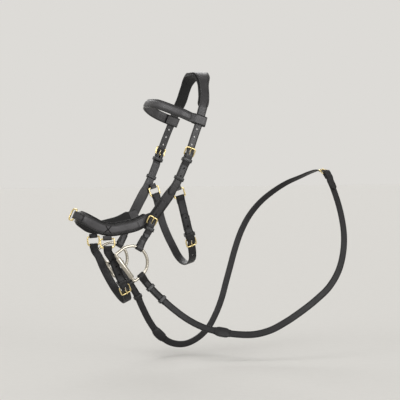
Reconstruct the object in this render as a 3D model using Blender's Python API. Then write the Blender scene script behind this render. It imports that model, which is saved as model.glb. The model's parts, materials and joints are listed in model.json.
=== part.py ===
"""A bridle with its bit and reins, in the shape in which it is worn.

The noseband is towards -Y, the near (left) side is +X and +Z is up. The origin is under the middle
of the headpiece's lining. All sizes are in metres.

Every strap is a flat box, cut across at the stations of the route it lies on, and bent onto
that route. A place on a route has three numbers: s along it, w across it and n outwards from its
inner face.
"""
import math

import bmesh
import bpy
import numpy as np
from mathutils import Matrix, Vector

# The sizes that the straps are cut to: the length from headpiece to noseband, and half the width
HEAD_LENGTH = 0.600
CHEEK_HALF_WIDTH = 0.090

# Leather
STRAP_THICKNESS = 0.0032
TURN_THICKNESS = 0.0020
TAB_THICKNESS = 0.0016
REIN_THICKNESS = 0.0030
LAYER_GAP = 0.0005
STATION = 0.010
STATION_CLEAR = 0.0012
HOLE_RADIUS = 0.0020
HOLE_PITCH = 0.019
HOLE_LAST_COUNT = 3
HOLE_FIRST_COUNT = 2
SLOT_WIDTH = 0.0040
CUT_OVERRUN = 0.002

# Widths of the straps
POLL_WIDTH = 0.038
HEADPIECE_WIDTH = 0.021
BILLET_WIDTH = 0.018
CHEEKPIECE_WIDTH = 0.025
BROWBAND_WIDTH = 0.023
NOSEBAND_WIDTH = 0.025
BIT_STRAP_WIDTH = 0.016
JAW_STRAP_WIDTH = 0.019
CHIN_STRAP_WIDTH = 0.019
REIN_WIDTH = 0.016

# Linings and raised centres
PAD_THICKNESS = 0.006
PAD_BORDER = 0.003
POLL_PAD_REACH = 0.118
NOSE_PAD_THICKNESS = 0.003
RAISED_HEIGHT = 0.0022
RAISED_MARGIN = 0.004
RAISED_SLOPE = 0.003

# Buckles
BUCKLE_WIRE = 0.0014
BUCKLE_REACH = 0.017
BUCKLE_CORNER = 0.004
BUCKLE_BITE = 0.0004
EDGE_PLAY = 0.0010
TONGUE_WIRE = 0.0011
TONGUE_SEAT = 0.0003
TONGUE_TIP = 0.0016
TONGUE_WRAP = math.radians(240.0)
TONGUE_STEPS = 7
SLOT_START = 0.0008
SLOT_END = 0.0122
TURN_LENGTH = 0.015
TURN_CLOSE = 0.008
TURN_FALL = 0.009

# Keepers
KEEPER_LENGTH = 0.008
KEEPER_WALL = 0.0018
KEEPER_PLAY = 0.0006
KEEPER_SET = 0.0120
RUNNER_SET = 0.057

# Where the pieces sit along the headpiece and cheekpiece, from the headpiece's middle
BROWBAND_AT = 0.150
CHEEK_HEEL_AT = 0.235
CHEEK_BILLET_POINT = 0.0485
HEADPIECE_FALL = 0.016
JUNCTION_AT = 0.399
CHEEKPIECE_TAIL = 0.013
WIDENING_START = 0.312
WIDENING_END = 0.336

# Browband loops
LOOP_ROOM = 0.0012
LOOP_TURN = 0.018

# Rings of the straps
RING_WIRE = 0.00175
RING_PLAY = 0.0005
SIDE_RING_HALF_WIDTH = 0.0158
SIDE_RING_DEPTH = 0.0200
SIDE_RING_CORNER = 0.0065
RING_TOP_CORNER = 0.0030
SIDE_RING_AT = 0.0800
SIDE_RING_LEAN_SHARE = 0.18
SIDE_TAB_WIDTH = 0.020
SIDE_TAB_DROP = 0.0070
JAW_RING_HALF_WIDTH = 0.0125
JAW_RING_DEPTH = 0.0190
JAW_RING_AT = 0.313
JAW_RING_SET = 0.0120
JAW_TAB_WIDTH = 0.015
JAW_TAB_LENGTH = 0.0085
NOSE_RING_HALF_WIDTH = 0.0135
NOSE_RING_DEPTH = 0.0200
NOSE_TAB_WIDTH = 0.018
NOSE_TAB_LENGTH = 0.022
NOSE_RING_LEAN = math.radians(80.0)

# Bit
BIT_CENTRE_BACK_SHARE = -0.3133
BIT_CENTRE_UP_SHARE = -0.7100
BIT_CENTRE_BACK = BIT_CENTRE_BACK_SHARE * HEAD_LENGTH
BIT_CENTRE_UP = BIT_CENTRE_UP_SHARE * HEAD_LENGTH
BIT_HALF_SPREAD = 0.069
BIT_WIRE = 0.0035
BIT_RING_RADIUS = 0.0385
BIT_LOOP_ROOM = 0.0014
BIT_RING_STRAIGHT = 0.0195
BIT_CORNER = 0.004
BIT_TILT = math.radians(36.5)
BIT_STRAP_ANGLE = math.radians(-24.0)
BIT_STRAP_LEAN = math.radians(29.0)
BIT_BILLET_START = 0.045
BIT_STRAP_LEAD = 0.036
BIT_STRAP_BULGE = 0.0050
BIT_BUCKLE_BACK = 0.002
REIN_ANGLE = math.radians(88.0)
SLEEVE_WALL = 0.0020
SLEEVE_PLAY = 0.0005
SLEEVE_LENGTH = 0.056
ARM_RADIUS = 0.0075
ARM_NECK_RADIUS = 0.0036
ARM_ANGLE = math.radians(14.0)
LINK_HALF_SPREAD = 0.0100
LINK_WIRE = 0.0022
LINK_HALF_HEIGHT = 0.0060
LINK_BEAN_RADIUS = 0.0048
EYE_RADIUS = 0.0050
EYE_WIRE = 0.0020

# Chin and jaw straps: where each buckle sits from the near ring, and the point past the last hole
CHIN_HEEL_AT = 0.098
CHIN_POINT = 0.0175
JAW_HEEL_AT = 0.100
JAW_POINT = 0.0095

# Reins
REIN_TAIL = 0.085
REIN_KEEPER_SHARES = (0.33, 0.78)
REIN_STOP_LENGTH = 0.040
REIN_STOP_WIDTH = 0.026
REIN_STOP_THICKNESS = 0.011
REIN_STOP_AT_SHARES = (0.295, 0.235)
REIN_HEEL_AT = 0.838
REIN_BILLET_TAIL = 0.048

# Shares of the fitting sizes. Columns: across (of CHEEK_HALF_WIDTH), back and up (of HEAD_LENGTH),
# then the direction that the leather faces there.
CROWN_SHARES = (
    (0.000, 0.0000, 0.0000, 0.00, 0.00, 1.00),
    (0.111, 0.0000, 0.0000, 0.00, 0.00, 1.00),
    (0.222, 0.0000, 0.0000, 0.06, 0.00, 1.00),
    (0.350, -0.0020, -0.0060, 0.38, 0.00, 0.92),
    (0.480, -0.0070, -0.0210, 0.72, 0.00, 0.70),
    (0.620, -0.0125, -0.0520, 0.90, 0.00, 0.43),
    (0.744, -0.0190, -0.0910, 0.95, 0.00, 0.31),
    (0.844, -0.0333, -0.1317, 0.97, -0.04, 0.24),
    (0.911, -0.0467, -0.1717, 0.98, -0.04, 0.18),
    (0.956, -0.0717, -0.2350, 0.99, -0.04, 0.10),
    (0.983, -0.0967, -0.3017, 1.00, -0.04, 0.03),
    (0.978, -0.1217, -0.3633, 1.00, -0.06, -0.05),
    (0.956, -0.1433, -0.4100, 0.99, -0.10, -0.10),
    (0.911, -0.1683, -0.4517, 0.97, -0.16, -0.15),
    (0.838, -0.1967, -0.4950, 0.95, -0.21, -0.20),
    (0.756, -0.2235, -0.5367, 0.94, -0.24, -0.23),
    (0.706, -0.2390, -0.5610, 0.94, -0.25, -0.24),
)
BROW_SHARES = (
    (0.000, -0.1950, -0.1085, 0.00, -0.86, 0.51),
    (0.180, -0.1935, -0.1085, 0.12, -0.85, 0.50),
    (0.400, -0.1850, -0.1110, 0.35, -0.82, 0.45),
    (0.610, -0.1660, -0.1210, 0.62, -0.70, 0.36),
    (0.780, -0.1400, -0.1340, 0.84, -0.48, 0.26),
    (0.880, -0.1130, -0.1460, 0.93, -0.28, 0.22),
)
NOSE_SHARES = (
    (0.000, -0.4800, -0.5400, 0.00, -0.90, 0.43),
    (0.110, -0.4785, -0.5415, 0.22, -0.88, 0.42),
    (0.230, -0.4700, -0.5470, 0.48, -0.80, 0.36),
    (0.350, -0.4510, -0.5590, 0.72, -0.66, 0.22),
    (0.460, -0.4190, -0.5770, 0.90, -0.42, 0.05),
    (0.530, -0.3810, -0.5840, 0.97, -0.22, -0.02),
    (0.580, -0.3360, -0.5775, 0.98, -0.14, -0.05),
    (0.625, -0.2880, -0.5660, 0.98, -0.12, -0.07),
)
JAW_SHARES = (
    (0.880, -0.1080, -0.5300, 0.99, 0.02, -0.10),
    (0.822, -0.0940, -0.5740, 0.98, 0.04, -0.20),
    (0.740, -0.0770, -0.6240, 0.96, 0.06, -0.28),
    (0.630, -0.0620, -0.6640, 0.88, 0.12, -0.45),
    (0.480, -0.0520, -0.6960, 0.60, 0.23, -0.76),
    (0.250, -0.0470, -0.7140, 0.22, 0.28, -0.93),
    (0.000, -0.0460, -0.7190, 0.00, 0.29, -0.96),
)
CHIN_SHARES = (
    (0.505, -0.3870, -0.6950, 0.98, -0.05, -0.10),
    (0.500, -0.3790, -0.6930, 0.97, 0.00, -0.16),
    (0.475, -0.3600, -0.7380, 0.96, 0.04, -0.22),
    (0.425, -0.3370, -0.7860, 0.93, 0.12, -0.32),
    (0.340, -0.3160, -0.8250, 0.75, 0.26, -0.60),
    (0.190, -0.3020, -0.8500, 0.35, 0.40, -0.84),
    (0.000, -0.2970, -0.8590, 0.00, 0.43, -0.90),
)
NOSEBAND_TURN = math.radians(37.0)

# The reins' routes, chosen by hand in metres, with the direction that the rein faces
NEAR_REIN = (
    (0.0645, -0.1455, -0.4795, 0.95, -0.16, 0.26),
    (0.0700, -0.1210, -0.5060, 0.93, -0.19, 0.32),
    (0.0775, -0.0900, -0.5350, 0.92, -0.16, 0.36),
    (0.0860, -0.0560, -0.5610, 0.92, -0.10, 0.38),
    (0.0940, -0.0190, -0.5800, 0.92, -0.04, 0.38),
    (0.1020, 0.0190, -0.5900, 0.93, 0.00, 0.36),
    (0.1110, 0.0570, -0.5960, 0.94, 0.00, 0.34),
    (0.1210, 0.0940, -0.5960, 0.95, -0.02, 0.30),
    (0.1300, 0.1290, -0.5870, 0.96, -0.05, 0.26),
    (0.1370, 0.1640, -0.5690, 0.97, -0.06, 0.22),
    (0.1410, 0.2010, -0.5460, 0.97, -0.06, 0.20),
    (0.1400, 0.2400, -0.5200, 0.97, -0.04, 0.20),
    (0.1350, 0.2760, -0.4920, 0.97, -0.02, 0.22),
    (0.1260, 0.3050, -0.4560, 0.96, 0.02, 0.26),
    (0.1140, 0.3230, -0.4160, 0.95, 0.06, 0.30),
    (0.1010, 0.3320, -0.3740, 0.94, 0.08, 0.34),
    (0.0860, 0.3330, -0.3310, 0.92, 0.08, 0.38),
    (0.0690, 0.3290, -0.2890, 0.88, 0.06, 0.46),
    (0.0480, 0.3240, -0.2530, 0.74, 0.05, 0.67),
    (0.0220, 0.3210, -0.2300, 0.38, 0.03, 0.92),
    (-0.0060, 0.3190, -0.2240, -0.08, 0.00, 1.00),
)
OFF_REIN = (
    (-0.0635, -0.1450, -0.4830, -0.96, -0.10, 0.20),
    (-0.0670, -0.1250, -0.5130, -0.96, -0.08, 0.22),
    (-0.0715, -0.1080, -0.5460, -0.96, -0.06, 0.20),
    (-0.0780, -0.0880, -0.5800, -0.96, -0.04, 0.18),
    (-0.0820, -0.0630, -0.6110, -0.96, -0.02, 0.18),
    (-0.0860, -0.0310, -0.6330, -0.96, 0.00, 0.18),
    (-0.0900, 0.0060, -0.6380, -0.96, 0.00, 0.18),
    (-0.0930, 0.0400, -0.6260, -0.96, 0.00, 0.18),
    (-0.0950, 0.0680, -0.6030, -0.97, 0.00, 0.16),
    (-0.0965, 0.0890, -0.5700, -0.98, 0.00, 0.12),
    (-0.0975, 0.1050, -0.5330, -0.98, 0.00, 0.10),
    (-0.0980, 0.1170, -0.4930, -0.98, 0.00, 0.10),
    (-0.0980, 0.1290, -0.4520, -0.98, 0.00, 0.10),
    (-0.0975, 0.1410, -0.4110, -0.98, 0.00, 0.12),
    (-0.0960, 0.1560, -0.3700, -0.97, 0.00, 0.18),
    (-0.0930, 0.1760, -0.3330, -0.95, 0.00, 0.26),
    (-0.0890, 0.2030, -0.3010, -0.92, -0.02, 0.36),
    (-0.0830, 0.2350, -0.2750, -0.86, -0.04, 0.48),
    (-0.0730, 0.2680, -0.2540, -0.76, -0.06, 0.62),
    (-0.0560, 0.2960, -0.2400, -0.58, -0.06, 0.80),
    (-0.0330, 0.3125, -0.2290, -0.40, -0.02, 0.91),
)

# Colour, roughness and metallic value of each finish
LEATHER = ((0.022, 0.021, 0.022), 0.50, 0.0)
LINING = ((0.012, 0.012, 0.013), 0.62, 0.0)
BRASS = ((0.80, 0.62, 0.28), 0.26, 1.0)
STEEL = ((0.74, 0.72, 0.68), 0.22, 1.0)

X_AXIS = Vector((1.0, 0.0, 0.0))
SIDES = (("near", 1), ("off", -1))


def start_empty():
    """Remove the scene's objects and make the two collections."""
    for item in list(bpy.data.objects):
        bpy.data.objects.remove(item, do_unlink=True)
    made = []
    for name in ("horse_bridle", "cutters"):
        collection = bpy.data.collections.new(name)
        bpy.context.scene.collection.children.link(collection)
        made.append(collection)
    return made


def finish_material(name, finish):
    """A Principled material for one piece."""
    colour, roughness, metallic = finish
    material = bpy.data.materials.new(name + "_finish")
    material.use_nodes = True
    shader = material.node_tree.nodes["Principled BSDF"]
    shader.inputs["Base Color"].default_value = (*colour, 1.0)
    shader.inputs["Roughness"].default_value = roughness
    shader.inputs["Metallic"].default_value = metallic
    return material


def add_piece(name, shape, finish, pivot=None, axis=None):
    """Put a bmesh into a named object, with its origin on the pivot when it moves."""
    bmesh.ops.remove_doubles(shape, verts=shape.verts, dist=1e-7)
    bmesh.ops.recalc_face_normals(shape, faces=shape.faces)
    pivot = Vector(pivot) if pivot is not None else Vector()
    bmesh.ops.translate(shape, vec=-pivot, verts=shape.verts)
    mesh = bpy.data.meshes.new(name)
    shape.to_mesh(mesh)
    shape.free()
    mesh.shade_smooth()
    mesh.set_sharp_from_angle(angle=math.radians(40.0))
    piece = bpy.data.objects.new(name, mesh)
    piece.location = pivot
    PARTS.objects.link(piece)
    mesh.materials.append(finish_material(name, finish))
    if axis is not None:
        piece["axis"] = tuple(Vector(axis).normalized())
    return piece


def flip(row):
    """The same row on the other side of the bridle."""
    across, back, up, face_x, face_y, face_z = row
    return (-across, back, up, -face_x, face_y, face_z)


def symmetric(half):
    """Rows from the off side through the first row to the near side."""
    return [flip(row) for row in reversed(half[1:])] + list(half)


def sized(shares):
    """Turn rows of shares into rows of metres."""
    rows = []
    for across, back, up, *facing in shares:
        rows.append((across * CHEEK_HALF_WIDTH, back * HEAD_LENGTH, up * HEAD_LENGTH, *facing))
    return rows


def row_of(place, facing):
    """One route row from a place and a facing direction."""
    return (*place, *facing)


class Route:
    """A smooth line in space with a direction along, across and out at each station.

    The line is a cubic through the rows, split into equal stations. Between two stations every
    place is a straight blend, so layers that share a route keep an even gap.
    """

    def __init__(self, rows, centred=False, station=STATION):
        table = np.array(rows, dtype=float)
        steps = np.linalg.norm(np.diff(table[:, :3], axis=0), axis=1)
        knots = np.concatenate(([0.0], np.cumsum(steps)))
        slopes = np.gradient(table, knots, axis=0)
        fine = np.linspace(0.0, knots[-1], 40 * len(knots))
        cell = np.clip(np.searchsorted(knots, fine, side="right") - 1, 0, len(knots) - 2)
        width = (knots[cell + 1] - knots[cell])[:, None]
        t = (fine[:, None] - knots[cell][:, None]) / width
        line = ((2 * t**3 - 3 * t**2 + 1) * table[cell] + (t**3 - 2 * t**2 + t) * width * slopes[cell]
                + (3 * t**2 - 2 * t**3) * table[cell + 1] + (t**3 - t**2) * width * slopes[cell + 1])
        steps = np.linalg.norm(np.diff(line[:, :3], axis=0), axis=1)
        run = np.concatenate(([0.0], np.cumsum(steps)))
        count = max(2, 2 * math.ceil(run[-1] / (2 * station)))
        self.length = float(run[-1])
        self.zero = self.length / 2 if centred else 0.0
        self.pitch = self.length / count
        self.count = count
        even = np.linspace(0.0, run[-1], count + 1)
        spots = np.stack([np.interp(even, run, line[:, k]) for k in range(6)], axis=1)
        self.origin = spots[:, :3]
        along = np.gradient(self.origin, axis=0)
        along /= np.linalg.norm(along, axis=1)[:, None]
        out = spots[:, 3:] - (spots[:, 3:] * along).sum(axis=1)[:, None] * along
        self.out = out / np.linalg.norm(out, axis=1)[:, None]
        self.across = np.cross(self.out, along)

    def stations(self, low, high):
        """The s of each station between two places."""
        every = np.arange(self.count + 1) * self.pitch - self.zero
        return [float(s) for s in every if low < s < high]

    def blend(self, s):
        """The station before a place and the share of the way to the next."""
        step = (s + self.zero) / self.pitch
        cell = min(max(math.floor(step), 0), self.count - 1)
        return cell, step - cell

    def place(self, s, w=0.0, n=0.0):
        """The world place of s along, w across and n out."""
        cell, share = self.blend(s)
        ends = self.origin[cell:cell + 2] + w * self.across[cell:cell + 2] + n * self.out[cell:cell + 2]
        return Vector(ends[0] * (1 - share) + ends[1] * share)

    def facing(self, s):
        """The direction out of the leather's outer face at s."""
        cell, share = self.blend(s)
        return Vector(self.out[cell] * (1 - share) + self.out[cell + 1] * share).normalized()

    def sideways(self, s):
        """The direction across the strap at s."""
        cell, share = self.blend(s)
        return Vector(self.across[cell] * (1 - share) + self.across[cell + 1] * share).normalized()

    def heading(self, s):
        """The direction along the strap at s."""
        return self.sideways(s).cross(self.facing(s))


def flat_box(low, high):
    """A box from one corner to the other, made from a cube."""
    low, high = Vector(low), Vector(high)
    shape = bmesh.new()
    bmesh.ops.create_cube(shape, size=1.0)
    bmesh.ops.scale(shape, vec=high - low, verts=shape.verts)
    bmesh.ops.translate(shape, vec=(low + high) / 2, verts=shape.verts)
    return shape


def as_object(shape, name):
    """A short-lived object that a Boolean can read."""
    mesh = bpy.data.meshes.new(name)
    shape.to_mesh(mesh)
    shape.free()
    item = bpy.data.objects.new(name, mesh)
    CUTTERS.objects.link(item)
    item.hide_render = True
    item.display_type = "WIRE"
    return item


def combine(shape, other, operation):
    """One bmesh from two, joined or cut by an exact Boolean."""
    body = as_object(shape, "body")
    tool = as_object(other, "tool")
    modifier = body.modifiers.new("combine", "BOOLEAN")
    modifier.operation = operation
    modifier.object = tool
    modifier.solver = "EXACT"
    evaluated = body.evaluated_get(bpy.context.evaluated_depsgraph_get())
    result = bmesh.new()
    result.from_mesh(evaluated.to_mesh())
    evaluated.to_mesh_clear()
    for item in (body, tool):
        mesh = item.data
        bpy.data.objects.remove(item, do_unlink=True)
        bpy.data.meshes.remove(mesh)
    return result


def tube(points, radius, closed=False, fineness=2):
    """A wire along the points, as a curve with a bevel depth made into a bmesh."""
    data = bpy.data.curves.new("wire", "CURVE")
    data.dimensions = "3D"
    data.bevel_depth = radius
    data.bevel_resolution = fineness
    data.resolution_u = 1
    data.use_fill_caps = True
    spline = data.splines.new("POLY")
    spline.points.add(len(points) - 1)
    for spot, point in zip(spline.points, points):
        spot.co = (*point, 1.0)
    spline.use_cyclic_u = closed
    item = bpy.data.objects.new("wire", data)
    CUTTERS.objects.link(item)
    mesh = bpy.data.meshes.new_from_object(item.evaluated_get(bpy.context.evaluated_depsgraph_get()))
    bpy.data.objects.remove(item, do_unlink=True)
    bpy.data.curves.remove(data)
    shape = bmesh.new()
    shape.from_mesh(mesh)
    bpy.data.meshes.remove(mesh)
    bmesh.ops.remove_doubles(shape, verts=shape.verts, dist=1e-6)
    return shape


def arc(centre, first, second, radius, start, end, steps):
    """Points round a centre in the plane of two unit directions."""
    points = []
    for k in range(steps + 1):
        angle = start + (end - start) * k / steps
        points.append(centre + first * (radius * math.cos(angle)) + second * (radius * math.sin(angle)))
    return points


def slice_at(shape, places, normal, upper_only=False):
    """Cut the faces across at each place along a direction, leaving both halves."""
    normal = Vector(normal)
    for place in places:
        if upper_only:
            faces = [face for face in shape.faces if face.normal.z > 0.9]
            edges = {edge for face in faces for edge in face.edges}
            verts = {vert for face in faces for vert in face.verts}
            geometry = list(verts) + list(edges) + faces
        else:
            geometry = shape.verts[:] + shape.edges[:] + shape.faces[:]
        bmesh.ops.bisect_plane(shape, geom=geometry, dist=1e-7, plane_co=normal * place, plane_no=normal)


def bend(shape, route):
    """Cut a flat shape at the route's stations and lay it on the route."""
    reach = [vert.co.x for vert in shape.verts]
    slice_at(shape, route.stations(min(reach), max(reach)), X_AXIS)
    bmesh.ops.triangulate(shape, faces=shape.faces)
    for vert in shape.verts:
        vert.co = route.place(*vert.co)
    return shape


def around(bar_s, bar_n, hug, way, steps=4):
    """The inner line of a strap that turns round a bar, from its outer side to its inner one."""
    points = []
    for k in range(steps + 1):
        angle = math.pi / 2 - math.pi * k / steps
        points.append((bar_s + way * hug * math.cos(angle), bar_n + hug * math.sin(angle)))
    return points


def filled(route, line):
    """Add a point to a strap's line at each station of the route that it passes."""
    rows = [line[0]]
    for first, second in zip(line[:-1], line[1:]):
        low, high = sorted((first[0], second[0]))
        inside = route.stations(low + STATION_CLEAR, high - STATION_CLEAR)
        for s in (inside if second[0] > first[0] else reversed(inside)):
            share = (s - first[0]) / (second[0] - first[0])
            rows.append(tuple(a + (b - a) * share for a, b in zip(first, second)))
        rows.append(second)
    return rows


class Line:
    """The side view of one strap: rows of s, n of its inner line, and thickness.

    The thickness grows away from the inner line, to the left of the way it runs when side is 1.
    """

    def __init__(self, route, rows, side=1):
        self.route = route
        self.rows = np.array(filled(route, rows))
        steps = np.diff(self.rows[:, :2], axis=0)
        lengths = np.linalg.norm(steps, axis=1)
        self.run = np.concatenate(([0.0], np.cumsum(lengths)))
        left = np.stack((-steps[:, 1], steps[:, 0]), axis=1) / lengths[:, None] * side
        before = np.concatenate((left[:1], left))
        after = np.concatenate((left, left[-1:]))
        middle = before + after
        middle /= np.linalg.norm(middle, axis=1)[:, None]
        stretch = 1.0 / np.maximum((middle * before).sum(axis=1), 0.7)
        self.normal = middle * stretch[:, None]

    def crossings(self, s):
        """The lengths along the strap at which it passes s."""
        found = []
        for k in range(len(self.run) - 1):
            first, second = self.rows[k, 0], self.rows[k + 1, 0]
            if first != second and min(first, second) <= s < max(first, second):
                share = (s - first) / (second - first)
                found.append(self.run[k] + share * (self.run[k + 1] - self.run[k]))
        return found

    def at(self, length, height):
        """The s and n of a length along the strap and a share of its thickness."""
        cell = int(np.clip(np.searchsorted(self.run, length, side="right") - 1, 0, len(self.run) - 2))
        share = (length - self.run[cell]) / (self.run[cell + 1] - self.run[cell])
        ends = self.rows[cell:cell + 2, :2] + height * self.rows[cell:cell + 2, 2:3] * self.normal[cell:cell + 2]
        spot = ends[0] * (1 - share) + ends[1] * share
        return float(spot[0]), float(spot[1])


def punch(lengths, radius, stretch=0.0, spread=1.0, room=STRAP_THICKNESS):
    """Round cutters, or long ones when stretch is given, through a flat strap."""
    cutter = bmesh.new()
    turn = Matrix.Rotation(math.pi / 8, 3, "Z")
    for length in lengths:
        made = bmesh.ops.create_cone(cutter, cap_ends=True, segments=8, radius1=radius, radius2=radius,
                                     depth=room + 2 * CUT_OVERRUN)["verts"]
        bmesh.ops.rotate(cutter, verts=made, matrix=turn)
        for vert in made:
            vert.co.x += length + math.copysign(stretch, vert.co.x)
            vert.co.y *= spread
            vert.co.z += room / 2
    return cutter


def strap(name, line, width, finish=LEATHER, tips=(0.0, 0.0), holes=(), slots=(), raised=None):
    """A flat box the length of the line, its ends rounded, punched, sliced and bent.

    width is a size or a list of (s, width); tips are the shares of the half width by which the
    start and the end are rounded; holes are lengths; slots are (first, last) lengths; raised is
    (first s, last s) of a padded centre.
    """
    widths = width if isinstance(width, (list, tuple)) else [(0.0, width)]
    widest = max(size for _, size in widths)
    length = float(line.run[-1])
    shape = flat_box((0.0, -widest / 2, 0.0), (length, widest / 2, STRAP_THICKNESS))
    for tip, place in zip(tips, (0.0, length)):
        if tip:
            corners = [edge for edge in shape.edges
                       if all(abs(vert.co.x - place) < 1e-6 for vert in edge.verts)
                       and abs(edge.verts[0].co.y - edge.verts[1].co.y) < 1e-6]
            bmesh.ops.bevel(shape, geom=corners, offset=tip * widest / 2, segments=4, profile=0.5,
                            affect="EDGES")
    spots, sizes = [spot for spot, _ in widths], [size for _, size in widths]

    def share_at(s):
        """The strap's width at s as a share of its widest place."""
        return float(np.interp(abs(s), spots, sizes)) / widest

    for hole in holes:
        cutter = punch([hole], HOLE_RADIUS, spread=1 / share_at(line.at(hole, 0.0)[0]))
        shape = combine(shape, cutter, "DIFFERENCE")
    for first, last in slots:
        middle = (first + last) / 2
        stretch = (last - first) / 2 - SLOT_WIDTH / 2
        cutter = punch([middle], SLOT_WIDTH / 2, stretch, 1 / share_at(line.at(middle, 0.0)[0]))
        shape = combine(shape, cutter, "DIFFERENCE")
    inner = widest / 2 - RAISED_MARGIN - RAISED_SLOPE
    if raised:
        shape.normal_update()
        bounds = (inner, inner + RAISED_SLOPE)
        slice_at(shape, [sign * bound for sign in (1, -1) for bound in bounds], (0.0, 1.0, 0.0),
                 upper_only=True)
    slice_at(shape, line.run[1:-1], X_AXIS)
    bmesh.ops.triangulate(shape, faces=shape.faces)
    for vert in shape.verts:
        height = vert.co.z / STRAP_THICKNESS
        s, n = line.at(vert.co.x, height)
        if raised and height > 0.5 and abs(vert.co.y) < inner + 1e-5 and raised[0] < s < raised[1]:
            n += RAISED_HEIGHT
        vert.co = line.route.place(s, vert.co.y * share_at(s), n)
    return add_piece(name, shape, finish)


def keeper(name, route, at, width, low, high, finish=LEATHER, slides=False, length=KEEPER_LENGTH):
    """A closed loop of leather round a stack of straps: a box less a box."""
    half = width / 2 + KEEPER_PLAY
    inner_low, inner_high = low - KEEPER_PLAY, high + KEEPER_PLAY
    outer = flat_box((at - length / 2, -half - KEEPER_WALL, inner_low - KEEPER_WALL),
                     (at + length / 2, half + KEEPER_WALL, inner_high + KEEPER_WALL))
    bore = flat_box((at - length, -half, inner_low), (at + length, half, inner_high))
    shape = bend(combine(outer, bore, "DIFFERENCE"), route)
    middle = (low + high) / 2
    pivot = route.place(at, 0.0, middle) if slides else None
    axis = route.heading(at) if slides else None
    return add_piece(name, shape, finish, pivot, axis)


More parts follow.
